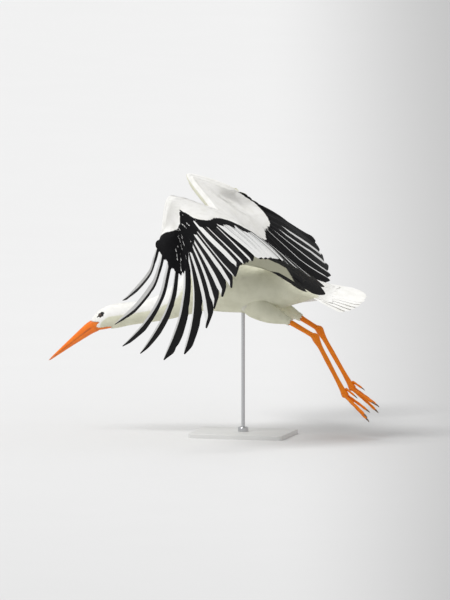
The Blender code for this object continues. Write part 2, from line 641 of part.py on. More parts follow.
def make_stand():
    x, y, z = BASE_SIZE
    ring = []
    for cx, cy, start in ((1, 1, 0), (-1, 1, 90), (-1, -1, 180), (1, -1, 270)):
        for k in range(5):
            a = math.radians(start + 90 * k / 4)
            ring.append((cx * (x / 2 - BASE_ROUND) + math.cos(a) * BASE_ROUND, cy * (y / 2 - BASE_ROUND) + math.sin(a) * BASE_ROUND))
    ring = np.array(ring)

    def level(scale, h):
        inset = ring * (1 - scale / np.array([x / 2, y / 2]))
        return np.column_stack([inset[:, 0], inset[:, 1], np.full(len(inset), h)])

    solid("stand_base", *skin_rings([level(0.0, 0.0), level(0.0, z - 0.002), level(0.002, z)]))
    foot = z + GAP
    belly = HANG + 0.006 - 0.0915 - GAP
    x0 = ROD_X - BASE_X

    def post(r, a, b, count):
        t = np.linspace(0, 2 * math.pi, count, endpoint=False)
        one = np.column_stack([x0 + np.cos(t) * r, np.sin(t) * r, np.full(count, a)])
        two = one.copy()
        two[:, 2] = b
        return one, two

    collar_low, collar_top = post(COLLAR_R, foot, foot + COLLAR_H, 20)
    inner_low, inner_top = post(ROD_R + GAP, foot, foot + COLLAR_H, 20)
    n = 20
    verts = np.concatenate([collar_low, collar_top, inner_low, inner_top])
    faces = []
    for i in range(n):
        j = (i + 1) % n
        faces += [(i, j, n + j, n + i), (2 * n + j, 2 * n + i, 3 * n + i, 3 * n + j)]
        faces += [(n + i, n + j, 3 * n + j, 3 * n + i), (j, i, 2 * n + i, 2 * n + j)]
    solid("stand_collar", verts, faces)
    low, top = post(ROD_R, foot, belly - 0.0002, 16)
    solid("stand_rod", *skin_rings([low, top]))


def main():
    for obj in list(bpy.data.objects):
        bpy.data.objects.remove(obj)
    make_body()
    make_bill()
    make_tail()
    trunk_cut = trunk_cutter()
    for name, leg in LEGS.items():
        make_leg(name, leg, trunk_cut)
    left = wing("left", LEFT_BONES, LEFT_TIPS, LEFT_BOW, LEFT_PARTS, LEFT_SWEEP)
    right = wing("right", RIGHT_BONES, RIGHT_TIPS, RIGHT_BOW, RIGHT_PARTS, RIGHT_SWEEP)
    cut_from(left["upper_arm"], "trunk_cut_wing_left", *trunk_cut)
    cut_from(right["upper_arm"], "trunk_cut_wing_right", *trunk_cut)
    make_stand()
    # the bird hangs over the middle of its plate
    for obj in bpy.data.objects:
        if not obj.name.startswith("stand_"):
            for v in obj.data.vertices:
                v.co = v.co - Vector((BASE_X, 0.0, 0.0))


main()
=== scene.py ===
"""White stork in flight on a display stand: the looks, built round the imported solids.

Metres, +Z up, the bird flying towards -X with its left wing at -Y. Shapes are worked out about the middle of
the bird's body and moved by HOME when a piece is made.
"""

import math

import bmesh
import bpy
import numpy as np
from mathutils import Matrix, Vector


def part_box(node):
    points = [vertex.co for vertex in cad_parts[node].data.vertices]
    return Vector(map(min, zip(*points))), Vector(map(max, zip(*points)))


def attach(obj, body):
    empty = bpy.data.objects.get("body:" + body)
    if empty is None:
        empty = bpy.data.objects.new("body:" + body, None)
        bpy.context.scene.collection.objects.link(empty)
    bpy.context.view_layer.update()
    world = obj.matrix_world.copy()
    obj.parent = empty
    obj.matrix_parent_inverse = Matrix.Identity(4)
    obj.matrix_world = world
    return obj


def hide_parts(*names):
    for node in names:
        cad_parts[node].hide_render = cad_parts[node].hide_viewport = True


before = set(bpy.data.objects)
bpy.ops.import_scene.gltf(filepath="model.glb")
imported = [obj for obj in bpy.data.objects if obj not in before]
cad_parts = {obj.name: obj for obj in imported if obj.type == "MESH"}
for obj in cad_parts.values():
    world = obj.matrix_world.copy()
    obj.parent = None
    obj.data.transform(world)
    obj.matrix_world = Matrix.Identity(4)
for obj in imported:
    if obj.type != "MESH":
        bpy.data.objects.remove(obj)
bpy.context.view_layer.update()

HOME = np.array([-0.010, 0.0, 0.470])  # the middle of the body, in the frame
MM = 0.001
random = np.random.default_rng(7)

# ---------------------------------------------------------------- the bird's own sizes
# centre line from the face to the tail's root: x, z, half height, half width
BODY = np.array([
    (-0.4655, -0.1385, 0.0200, 0.0160), (-0.4570, -0.1325, 0.0245, 0.0200),
    (-0.4450, -0.1250, 0.0300, 0.0250), (-0.4290, -0.1165, 0.0345, 0.0290),
    (-0.4100, -0.1095, 0.0370, 0.0310), (-0.3880, -0.1045, 0.0375, 0.0315),
    (-0.3700, -0.1010, 0.0365, 0.0305), (-0.3520, -0.0980, 0.0355, 0.0290),
    (-0.3250, -0.0940, 0.0350, 0.0290), (-0.2970, -0.0890, 0.0355, 0.0300),
    (-0.2620, -0.0800, 0.0385, 0.0330), (-0.2280, -0.0690, 0.0430, 0.0370),
    (-0.1980, -0.0550, 0.0495, 0.0425), (-0.1720, -0.0420, 0.0560, 0.0480),
    (-0.1450, -0.0270, 0.0640, 0.0540), (-0.1120, -0.0090, 0.0740, 0.0600),
    (-0.0850, -0.0030, 0.0815, 0.0680), (-0.0500, 0.0020, 0.0875, 0.0750),
    (-0.0100, 0.0060, 0.0915, 0.0790), (0.0350, 0.0060, 0.0905, 0.0790), (0.0800, 0.0040, 0.0850, 0.0740),
    (0.1200, 0.0010, 0.0740, 0.0660), (0.1600, -0.0020, 0.0600, 0.0560), (0.2000, -0.0060, 0.0440, 0.0470),
    (0.2350, -0.0110, 0.0300, 0.0460), (0.2620, -0.0140, 0.0170, 0.0470),
    (0.2900, -0.0202, 0.0050, 0.0490), (0.3200, -0.0253, 0.0035, 0.0520),
    (0.3500, -0.0305, 0.0030, 0.0540),
])  # fmt: skip
TAIL_START = np.array([0.2620, 0.0, -0.0140])  # the last three stations carry coat over the tail's root
ROUNDNESS = 2.1  # power of the body's oval section
BILL_BASE = np.array([-0.4675, 0.0, -0.1393])
BILL_TIP = np.array([-0.6120, 0.0, -0.2510])
BILL_DEEP, BILL_WIDE = 0.0395, 0.0280
BILL_ALONG = (-0.05, 0.004, 0.12, 0.28, 0.46, 0.64, 0.80, 0.92, 1.0)
BILL_TAPER = (0.94, 1.0, 0.90, 0.74, 0.57, 0.41, 0.27, 0.16, 0.05)  # its depth and width there
EYE = np.array([-0.4410, 0.0183, -0.1030])
EYE_R = 0.0068
TAIL_ROLL = 24.0  # degrees, left edge down
TAIL_SPREAD = 15.0
TAIL_ROOT = 0.0465
TAIL_LONG = 0.140
TAIL_ROUND = 0.36  # how much shorter the outermost feathers are

# wing bones: shoulder, elbow, wrist, end of the hand
BONES = {
    "left": [
        (-0.090, -0.077, 0.080), (0.006, -0.222, 0.231), (-0.130, -0.366, 0.309), (-0.154, -0.396, 0.160),
    ],
    "right": [
        (-0.090, 0.077, 0.080), (-0.101, 0.250, 0.150), (-0.268, 0.376, 0.299), (-0.118, 0.414, 0.251),
    ],
}  # fmt: skip
BONE_THICK = (0.042, 0.034, 0.022, 0.013)
WRIST_LEAD = 0.026  # from the bone to the leading edge at the wrist
HAND_LEAD = {"left": (0.016, 0.009), "right": (0.026, 0.014)}  # and along the hand
FOLD = {"left": 1.0, "right": 0.25}  # how far the web ahead of the elbow is stretched
# tips of the flight feathers, body outward: two scapulars, five tertials, twelve secondaries, ten primaries
TIPS = {
    "left": [
        (0.150, -0.080, 0.056), (0.195, -0.094, 0.022),
        (0.241, -0.120, -0.003), (0.311, -0.160, -0.004), (0.317, -0.195, 0.022), (0.294, -0.232, 0.047),
        (0.259, -0.268, 0.078), (0.234, -0.297, 0.095), (0.218, -0.317, 0.108), (0.193, -0.337, 0.116),
        (0.179, -0.354, 0.119), (0.165, -0.369, 0.120), (0.153, -0.382, 0.121), (0.138, -0.393, 0.117),
        (0.126, -0.403, 0.113), (0.117, -0.411, 0.109), (0.106, -0.418, 0.105), (0.098, -0.424, 0.096),
        (0.093, -0.430, 0.071), (0.082, -0.436, 0.037), (0.054, -0.441, 0.009), (0.030, -0.447, -0.028),
        (0.005, -0.456, -0.091), (-0.059, -0.473, -0.168), (-0.114, -0.515, -0.183), (-0.171, -0.585, -0.157),
        (-0.212, -0.645, -0.129), (-0.225, -0.690, -0.058), (-0.198, -0.700, 0.018),
    ],
    "right": [
        (0.120, 0.084, 0.060), (0.140, 0.092, 0.036),
        (0.160, 0.102, 0.014), (0.200, 0.120, -0.020), (0.194, 0.145, -0.016), (0.167, 0.165, -0.014),
        (0.135, 0.190, -0.010), (0.105, 0.220, -0.004), (0.092, 0.235, 0.003), (0.078, 0.250, 0.011),
        (0.065, 0.265, 0.018), (0.052, 0.280, 0.026), (0.038, 0.295, 0.033), (0.025, 0.310, 0.041),
        (0.012, 0.325, 0.048), (-0.002, 0.340, 0.056), (-0.015, 0.355, 0.063), (-0.025, 0.370, 0.068),
        (-0.020, 0.385, 0.066), (-0.004, 0.400, 0.056), (0.017, 0.415, 0.041), (0.043, 0.430, 0.020),
        (0.076, 0.450, -0.007), (0.113, 0.470, -0.029), (0.144, 0.500, -0.040), (0.158, 0.540, -0.031),
        (0.135, 0.600, 0.005), (0.107, 0.630, 0.037), (0.088, 0.625, 0.077),
    ],
}  # fmt: skip
BOW_ARM = 0.07
BOW_HAND = {
    "left": (0.05, 0.07, 0.10, 0.12, 0.14, 0.15, 0.15, 0.14, 0.12, 0.08),
    "right": (0.06, 0.06, 0.06, 0.06, 0.06, 0.06, 0.06, 0.07, 0.07, 0.07),
}
SWEEP = {"left": 0.65, "right": -0.25}
TERTIALS, SECONDARIES, PRIMARIES = 7, 12, 10
QUILLS = TERTIALS + SECONDARIES + PRIMARIES
ROWS = (0.0, 0.10, 0.24, 0.40, 0.54, 0.67, 0.80, 0.91, 1.0)
ROW_THICK = (1.0, 0.72, 0.42, 0.25, 0.17, 0.13, 0.10, 0.08, 0.065)
# By quill number, at these shares of the way from the wing's bones to the tip:
RUN_AT = (0.0, 0.4, 0.6, 0.8, 0.95, 1.0)
# how many places outward of its own number a quill lies
RUN = {
    "left": {
        8: (0.2, 0.15, 0, -0.2, -0.35, -0.1), 9: (0.1, 0.1, 0, -0.2, -0.3, 0),
        10: (0.2, 0.2, 0, -0.3, -0.4, -0.2), 11: (0.4, 0.4, 0.1, -0.3, -0.6, -0.4),
        12: (0.7, 0.7, 0.3, -0.3, -0.75, -0.5), 13: (1.2, 1.3, 1.0, 0.5, 0.1, 0),
        14: (1.2, 1.2, 0.9, 0.4, 0.1, 0), 15: (1.2, 1.2, 0.85, 0.35, -0.05, -0.1),
        16: (0.8, 0.8, 0.5, 0, -0.2, -0.2), 17: (0.1, 0.1, -0.2, -0.6, -0.7, -0.1),
        18: (0.35, 0.35, 0.25, 0.15, 0.05, 0), 19: (-0.1, -0.1, -0.3, -0.4, -0.25, 0),
        20: (-0.2, -0.2, -0.3, -0.35, -0.25, 0), 21: (-0.6, -0.6, -0.55, -0.43, -0.28, 0),
        22: (-0.85, -0.85, -0.75, -0.6, -0.35, -0.05), 23: (-1.2, -1.2, -0.78, -0.4, -0.05, 0),
        24: (-0.9, -0.95, -0.4, -0.15, 0, 0), 26: (0.1, 0.2, 0.04, -0.04, 0, 0),
        27: (0.2, 0.54, 0.33, 0.07, 0.06, 0), 28: (0.2, 0.8, 0.5, 0.2, 0.04, 0),
    },
    "right": {
        20: (0, 0, 0, 0, 0.2, 0.2), 21: (0, 0, 0, 0.1, 0.4, 0.5), 22: (-0.3, -0.3, 0, 0.3, 0.9, 1.0),
        23: (-0.4, -0.4, -0.1, 0.5, 1.6, 1.8), 24: (-0.5, -0.6, -0.1, 0.6, 1.2, 1.3),
        25: (-0.5, -0.9, -0.4, 0.4, 0.75, 1.0), 26: (-0.5, -1.1, -0.65, 0, 0.5, 0.9),
        27: (-0.4, -1.1, -0.8, -0.15, 0.15, 0.35), 28: (0, -0.5, -1.1, -0.5, -0.1, 0),
    },
}  # fmt: skip
# how wide its leading web is, in places
LEADING = {
    "left": {
        8: (0.5, 0.5, 0.5, 0.5, 0.5, 0.5), 12: (1.1, 1.15, 1.0, 0.9, 0.95, 0.9),
        13: (0.15, 0.15, 0.2, 0.35, 0.4, 0.4), 15: (0.2, 0.2, 0.2, 0.35, 0.5, 0.5),
        16: (0.3, 0.3, 0.3, 0.3, 0.3, 0.3), 17: (0.8, 0.8, 0.9, 0.95, 0.9, 0.5),
        18: (0.2, 0.2, 0.17, 0.15, 0.13, 0.12), 19: (0.5, 0.5, 0.5, 0.5, 0.35, 0.1),
        20: (0.3, 0.3, 0.36, 0.4, 0.35, 0.1), 21: (0.3, 0.28, 0.3, 0.32, 0.35, 0.1),
        22: (0.36, 0.36, 0.38, 0.36, 0.36, 0.1), 23: (0.4, 0.4, 0.16, 0.14, 0.1, 0.03),
        24: (0.5, 0.5, 0.26, 0.12, 0.04, 0.02), 25: (0.15, 0.15, 0.15, 0.11, 0.04, 0.02),
        26: (0.3, 0.33, 0.23, 0.11, 0.03, 0.02), 27: (0.3, 0.36, 0.4, 0.23, 0.05, 0.02),
        28: (0.2, 0.3, 0.28, 0.2, 0.05, 0.02),
    },
    "right": {
        23: (0.12,) * 6, 24: (0.12,) * 6, 25: (0.2, 0.2, 0.2, 0.22, 0.25, 0.2),
        26: (0.2, 0.2, 0.25, 0.3, 0.35, 0.3), 28: (0.3, 0.3, 0.35, 0.35, 0.35, 0.3),
    },
}  # fmt: skip
# how wide its trailing web is, in places, where it stands free
TRAILING = {
    1: (1.0, 0.9, 0.7, 0.55, 0.45, 0.4), 2: (1.0, 0.9, 0.6, 0.5, 0.45, 0.4),
    19: (1.3, 1.3, 1.2, 1.0, 0.42, 0.08), 20: (1.3, 1.3, 1.2, 0.95, 0.42, 0.08),
    21: (1.3, 1.3, 1.2, 0.95, 0.45, 0.08), 22: (1.3, 1.3, 1.2, 0.90, 0.47, 0.06),
    23: (1.2, 1.2, 1.0, 0.80, 0.44, 0.05), 24: (1.2, 1.2, 0.95, 0.72, 0.38, 0.04),
    25: (0.8, 0.60, 0.56, 0.42, 0.18, 0.03), 26: (0.6, 0.50, 0.38, 0.40, 0.19, 0.03),
    27: (0.5, 0.48, 0.31, 0.24, 0.14, 0.02), 28: (0.4, 0.50, 0.31, 0.30, 0.20, 0.02),
}  # fmt: skip
POINTED_FROM = {"left": 19, "right": 29}

THIGH_RADII = (0.0400, 0.0405, 0.0325, 0.0235, 0.0132)
THIGH_FLAT = (0.40, 0.50, 0.66, 0.72, 0.72)  # its width against its depth
LEGS = {
    "left": dict(
        side=-1, hip=(0.030, 0.044, -0.040), knee=(0.100, 0.047, -0.078), thigh_end=(0.161, 0.045, -0.101),
        ankle=(0.250, 0.045, -0.150), foot=(0.344, 0.045, -0.324), toes=(0.430, -0.407),
    ),
    "right": dict(
        side=1, hip=(0.034, 0.044, -0.036), knee=(0.106, 0.047, -0.072), thigh_end=(0.171, 0.045, -0.095),
        ankle=(0.241, 0.045, -0.136), foot=(0.345, 0.045, -0.312), toes=(0.436, -0.386),
    ),
}  # fmt: skip


# ---------------------------------------------------------------- small tools
def unit(v):
    """Vectors brought to a length of 1."""
    v = np.asarray(v, float)
    return v / np.maximum(np.linalg.norm(v, axis=-1, keepdims=True), 1e-12)


def ease(x, low=0.0, high=1.0):
    """0 below low, 1 above high, and a smooth rise between."""
    t = np.clip((np.asarray(x, float) - low) / (high - low), 0.0, 1.0)
    return t * t * (3 - 2 * t)


def run_along(points):
    """How far along a line each of its points lies."""
    return np.concatenate([[0.0], np.cumsum(np.linalg.norm(np.diff(points, axis=0), axis=1))])


def hermite(knots, slopes, times, at):
    """Points at some times on a smooth curve with these knots and these slopes at them."""
    k = np.clip(np.searchsorted(times, at, side="right") - 1, 0, len(times) - 2)
    h = (times[k + 1] - times[k])[:, None]
    u = (at - times[k])[:, None] / h
    return (
        knots[k] * (2 * u**3 - 3 * u**2 + 1)
        + knots[k + 1] * (3 * u**2 - 2 * u**3)
        + slopes[k] * h * (u**3 - 2 * u**2 + u)
        + slopes[k + 1] * h * (u**3 - u**2)
    )


def smooth_line(knots, count, times=None):
    """count points, evenly spaced in time, on a smooth curve through the knots."""
    knots = np.asarray(knots, float)
    times = run_along(knots[:, :3]) if times is None else np.asarray(times, float)
    return hermite(knots, np.gradient(knots, times, axis=0), times, np.linspace(times[0], times[-1], count))


def lay_grid(bm, points):
    """A grid of faces through rows and columns of points."""
    points = np.asarray(points, float)
    rows, cols = points.shape[:2]
    made = bmesh.ops.create_grid(bm, x_segments=cols - 1, y_segments=rows - 1, size=1.0)["verts"]
    for v in made:
        v.co = points[round((v.co.y + 1) / 2 * (rows - 1))][round((v.co.x + 1) / 2 * (cols - 1))]
    return made


def loft(rings, caps=True):
    """A tube through rings of equal length, closed at its ends."""
    rings = np.asarray(rings, float)
    bm = bmesh.new()
    lay_grid(bm, np.concatenate([rings, rings[:, :1]], axis=1))
    bmesh.ops.remove_doubles(bm, verts=bm.verts, dist=1e-7)
    if caps:
        bmesh.ops.holes_fill(bm, edges=[e for e in bm.edges if e.is_boundary], sides=0)
    return bm


def slab(top, bottom):
    """A closed body between two grids of points."""
    bm = bmesh.new()
    lay_grid(bm, top)
    lay_grid(bm, bottom)
    bmesh.ops.bridge_loops(bm, edges=[e for e in bm.edges if e.is_boundary])
    return bm


def tube(points, wide, high, count):
    """A loft of ovals, count points round each, along a line bent up and down."""
    along = unit(np.gradient(points, axis=0))
    up = unit(np.cross(along, (0.0, 1.0, 0.0)))
    side = np.cross(up, along)
    t = 2 * math.pi * (np.arange(count) + 0.5)[None, :, None] / count
    out = side[:, None] * np.cos(t) * wide[:, None, None] + up[:, None] * np.sin(t) * high[:, None, None]
    return loft(points[:, None] + out)


def piece(name, bm, finish, home=HOME, stands_for=()):
    """A finished piece from a bmesh: faces outward, smooth, riding on the one body."""
    bmesh.ops.recalc_face_normals(bm, faces=bm.faces)
    mesh = bpy.data.meshes.new(name)
    if home is not None:
        bmesh.ops.translate(bm, verts=bm.verts, vec=Vector(home))
    bm.to_mesh(mesh)
    bm.free()
    mesh.shade_smooth()
    mesh.set_sharp_from_angle(angle=math.radians(50))
    return settle(name, mesh, finish, stands_for)


def settle(name, mesh, finish, stands_for=()):
    """A mesh as a piece of the bird: its finish, and the solids it stands for."""
    obj = bpy.data.objects.new(name, mesh)
    bpy.context.scene.collection.objects.link(obj)
    mesh.materials.append(finish)
    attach(obj, "root")
    if stands_for:
        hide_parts(*stands_for)
    return obj


# ---------------------------------------------------------------- materials
# A pattern's scale is 1 over its real size. Barbs too fine to show are drawn a few times coarser.
COLOUR = dict(data_type="RGBA")  # a Mix node's two colours
SMOOTH = dict(interpolation_type="SMOOTHSTEP")


def hexed(code):
    """An sRGB hex colour as linear RGBA."""
    parts = [int(code[k : k + 2], 16) / 255 for k in (1, 3, 5)]
    return (*[c / 12.92 if c <= 0.04045 else ((c + 0.055) / 1.055) ** 2.4 for c in parts], 1.0)


def add(tree, kind, inputs=(), give=None, **settings):
    """One node, and the output of it that give names, or else its first.

    inputs go by name in a dict, or in order into its open sockets: values, hex colours or nodes' outputs.
    """
    node = tree.nodes.new("ShaderNode" + kind)
    for key, value in settings.items():
        setattr(node, key, value)
    if isinstance(inputs, dict):
        pairs = [(node.inputs[key], value) for key, value in inputs.items()]
    else:
        pairs = zip([socket for socket in node.inputs if socket.enabled], inputs)
    for socket, value in pairs:
        if isinstance(value, bpy.types.NodeSocket):
            tree.links.new(value, socket)
        else:
            socket.default_value = hexed(value) if isinstance(value, str) else value
    return node.outputs[give] if give else next(socket for socket in node.outputs if socket.enabled)


def start(name):
    """A new material, its node tree, its shader and the place on the piece."""
    material = bpy.data.materials.new(name)
    material.use_nodes = True
    tree = material.node_tree
    return material, tree, tree.nodes["Principled BSDF"], add(tree, "TexCoord", give="Object")


def marked(tree, *names):
    """The values that a mesh carries under these names."""
    return [add(tree, "Attribute", give="Fac", attribute_name=name) for name in names]


def finished(tree, shader, colour, roughness, relief=None, strength=0.2, deep=0.2 * MM):
    """Colour, roughness and fine relief; deep is the way from its hollows to its crests."""
    tree.links.new(colour, shader.inputs["Base Color"])
    shader.inputs["Roughness"].default_value = roughness
    if relief:
        bump = add(tree, "Bump", {"Strength": strength, "Distance": deep, "Height": relief})
        tree.links.new(bump, shader.inputs["Normal"])


def barbs(tree, count, slope):
    """A vane's own map, across and along, and the herringbone wave of its count barbs."""
    across, along, _ = add(tree, "SeparateXYZ", (add(tree, "UVMap", uv_map="vane"),)).node.outputs
    out = add(tree, "Math", (add(tree, "Math", (across, 0.5), operation="SUBTRACT"),), operation="ABSOLUTE")
    rise = add(tree, "Math", (along, count), operation="MULTIPLY")
    lean = add(tree, "Math", (rise, add(tree, "Math", (out, -slope), operation="MULTIPLY")), operation="ADD")
    turn = add(tree, "Math", (lean, 2 * math.pi), operation="MULTIPLY")
    return across, along, add(tree, "Math", (turn,), operation="SINE")


def contour_feathers():
    """Body feathers, soft keratin barbs: matte, white, greyed in two steps by painted shade below, and black
    where dark.
    """
    material, tree, shader, where = start("contour_feather_keratin")
    dark, stain, edged = marked(tree, "dark", "stain", "edged")
    across, _, wave = barbs(tree, 34.0, 14.0)
    uneven = add(tree, "TexNoise", (where, 1 / (26.32 * MM), 3.0))
    fine = add(tree, "TexNoise", (where, 1 / (2.381 * MM), 2.0))
    patchy = add(tree, "MapRange", (uneven, 0.3, 0.7), **SMOOTH)
    clouded = add(tree, "MapRange", (uneven, 0.35, 0.75), **SMOOTH)
    white = add(tree, "Mix", (clouded, "#f6f5f2", "#efeee9"), **COLOUR)
    # painted shade: the white greyed to olive in two steps, lighter then deeper, where the body lies in shade
    shaded_white = add(tree, "Mix", (patchy, "#e2e1cb", "#d9d8c1"), **COLOUR)
    deep_shade = add(tree, "Mix", (patchy, "#c0bfa8", "#b4b39c"), **COLOUR)
    pale = add(tree, "Mix", (add(tree, "MapRange", (stain, 0.0, 0.6), **SMOOTH), white, shaded_white), **COLOUR)
    pale = add(tree, "Mix", (add(tree, "MapRange", (stain, 0.6, 1.0), **SMOOTH), pale, deep_shade), **COLOUR)
    # black ones are flecked by the fine noise, and some have a thin white leading edge
    flecked = add(tree, "MapRange", (fine, 0.3, 0.8), **SMOOTH)
    black = add(tree, "Mix", (flecked, "#08080a", "#111114"), **COLOUR)
    rim = add(tree, "MapRange", (across, 0.86, 0.90), **SMOOTH)
    rim = add(tree, "Math", (edged, rim), operation="MULTIPLY")
    black = add(tree, "Mix", (rim, black, "#e4e4e2"), **COLOUR)
    tone = add(tree, "Mix", (add(tree, "MapRange", (dark, 0.46, 0.54), **SMOOTH), pale, black), **COLOUR)
    streak = add(tree, "MapRange", (wave, -1.0, 1.0, 0.97, 1.0), **SMOOTH)
    tone = add(tree, "Mix", (1.0, tone, streak), blend_type="MULTIPLY", **COLOUR)
    height = add(tree, "Math", (add(tree, "Math", (wave, 0.5), operation="MULTIPLY"), fine), operation="ADD")
    finished(tree, shader, tone, 0.75, height, 0.2, 0.3 * MM)
    shader.inputs["Specular IOR Level"].default_value = 0.15
    return material


def flight_feathers():
    """Stiff keratin vanes with a dull gloss: black, with a silvery white stripe on the leading web."""
    material, tree, shader, where = start("flight_feather_keratin")
    stripe, stain, dark, above = marked(tree, "stripe", "stain", "dark", "above")
    across, along, wave = barbs(tree, 360.0, 32.0)
    fine = add(tree, "TexNoise", (where, 1 / (3.333 * MM), 2.0))
    flecked = add(tree, "MapRange", (fine, 0.3, 0.8), **SMOOTH)
    # the stripe reaches in from the leading edge, wanders a little, and closes to a point before the tip
    wander = add(tree, "Math", (fine, 0.5), operation="SUBTRACT")
    wander = add(tree, "Math", (wander, 0.02), operation="MULTIPLY")
    narrow = add(tree, "MapRange", (along, 0.90, 1.0, 1.0, 0.0), **SMOOTH)
    reach = add(tree, "Math", (stripe, narrow), operation="MULTIPLY")
    bound = add(tree, "Math", (reach, wander), operation="ADD")
    bound = add(tree, "Math", (1.0, bound), operation="SUBTRACT")
    inside = add(tree, "Math", (across, bound), operation="SUBTRACT")
    inside = add(tree, "MapRange", (inside, -0.012, 0.012), **SMOOTH)
    broad = add(tree, "MapRange", (reach, 0.02, 0.06), **SMOOTH)
    band = add(tree, "Math", (inside, broad), operation="MULTIPLY")
    # and only the upper side has it
    above = add(tree, "MapRange", (above, -0.6, -0.3), **SMOOTH)
    band = add(tree, "Math", (band, above), operation="MULTIPLY")
    black = add(tree, "Mix", (flecked, "#070709", "#101013"), **COLOUR)
    silver = add(tree, "Mix", (flecked, "#f2f2f0", "#e8e8e7"), **COLOUR)
    # painted shade: the white inner quills greyed to olive where they lie in shade
    white = add(tree, "Mix", (stain, "#f1f0eb", "#bebda7"), **COLOUR)
    vane = add(tree, "Mix", (band, black, silver), **COLOUR)
    vane = add(tree, "Mix", (add(tree, "MapRange", (dark, 0.44, 0.56), **SMOOTH), white, vane), **COLOUR)
    streak = add(tree, "MapRange", (wave, -1.0, 1.0, 0.88, 1.0), **SMOOTH)
    vane = add(tree, "Mix", (1.0, vane, streak), blend_type="MULTIPLY", **COLOUR)
    finished(tree, shader, vane, 0.55, wave, 0.25)
    shader.inputs["Specular IOR Level"].default_value = 0.22
    return material


def quill_horn(name, light, deep, roughness):
    """Feather shafts: smooth horn with a faint grain."""
    material, tree, shader, where = start(name)
    grain = add(tree, "TexNoise", (where, 1 / (6.25 * MM), 2.0))
    finished(tree, shader, add(tree, "Mix", (grain, light, deep), **COLOUR), roughness)
    return material


def bird_skin():
    """Skin under the coat: pale and dry, greyed by painted shade below, black round the eye, orange at the
    gape, finely creased.
    """
    material, tree, shader, where = start("bird_skin")
    dark, stain, gape = marked(tree, "dark", "stain", "gape")
    cells = {"Vector": where, "Scale": 1 / (1.429 * MM)}
    creases = add(tree, "TexVoronoi", cells, feature="DISTANCE_TO_EDGE")
    # painted shade: greyed to olive where the body lies in shade
    pale = add(tree, "Mix", (stain, "#eceae4", "#c6c5af"), **COLOUR)
    pale = add(tree, "Mix", (gape, pale, "#ea7a1c"), **COLOUR)
    tone = add(tree, "Mix", (add(tree, "MapRange", (dark, 0.3, 0.7), **SMOOTH), pale, "#151416"), **COLOUR)
    finished(tree, shader, tone, 0.6, add(tree, "MapRange", (creases, 0.0, 0.25), **SMOOTH), 0.4, 0.3 * MM)
    return material


def bill_keratin():
    """Smooth orange-red horn with fine lengthwise growth lines, and painted shade where the halves close and
    at the face.
    """
    material, tree, shader, where = start("bill_keratin")
    (edge,) = marked(tree, "edge")
    along = unit(BILL_TIP - BILL_BASE)
    level = (0.0, -math.atan2(-along[2], -along[0]), 0.0)
    turned = add(tree, "Mapping", {"Vector": where, "Rotation": level})
    stretch = (1 / (71.43 * MM), 1 / (2.381 * MM), 1 / (2.381 * MM))
    drawn = add(tree, "Mapping", {"Vector": turned, "Scale": stretch})
    lines = add(tree, "TexNoise", (drawn, 1.0, 3.0))
    blotch = add(tree, "TexNoise", (where, 1 / (22.22 * MM), 3.0))
    blotch = add(tree, "MapRange", (blotch, 0.3, 0.7), **SMOOTH)
    orange = add(tree, "Mix", (blotch, "#f57f02", "#ef7300"), **COLOUR)
    lined = add(tree, "MapRange", (lines, 0.4, 0.8, 0.0, 0.4), **SMOOTH)
    orange = add(tree, "Mix", (lined, orange, "#df6600"), **COLOUR)
    # painted shade: darker where the two halves close and where the bill meets the face
    finished(tree, shader, add(tree, "Mix", (edge, orange, "#9c480c"), **COLOUR), 0.36, lines, 0.25, 0.3 * MM)
    shader.inputs["IOR"].default_value = 1.54
    shader.inputs["Subsurface Weight"].default_value = 0.08
    shader.inputs["Subsurface Radius"].default_value = (4 * MM, 1.5 * MM, 0.5 * MM)
    return material


def leg_scutes():
    """Reticulate scales of the legs: orange plates about 3 mm across with darker creases."""
    material, tree, shader, where = start("leg_scale_keratin")
    cells = {"Vector": where, "Scale": 1 / (3.2 * MM), "Randomness": 0.75}
    rims = add(tree, "TexVoronoi", cells, feature="DISTANCE_TO_EDGE")
    shade = add(tree, "SeparateXYZ", (add(tree, "TexVoronoi", cells, give="Color"),))
    shade = add(tree, "MapRange", (shade, 0.0, 1.0, 0.0, 0.3), **SMOOTH)
    blotch = add(tree, "TexNoise", (where, 1 / (33.33 * MM), 3.0))
    crease = add(tree, "MapRange", (rims, 0.0, 0.10), **SMOOTH)
    blotch = add(tree, "MapRange", (blotch, 0.35, 0.7), **SMOOTH)
    orange = add(tree, "Mix", (blotch, "#fb8c00", "#f58000"), **COLOUR)
    orange = add(tree, "Mix", (shade, orange, "#ea7400"), **COLOUR)
    tone = add(tree, "Mix", (crease, "#dc7304", orange), **COLOUR)
    finished(tree, shader, tone, 0.48, crease, 0.4, 0.3 * MM)
    shader.inputs["Specular IOR Level"].default_value = 0.3
    return material


def claw_horn():
    """Toenails: worn grey-brown horn with growth streaks."""
    material, tree, shader, where = start("claw_horn")
    grain = add(tree, "TexNoise", (where, 1 / (4.167 * MM), 3.0))
    finished(tree, shader, add(tree, "Mix", (grain, "#5b4a3a", "#8a6f55"), **COLOUR), 0.42, grain)
    return material


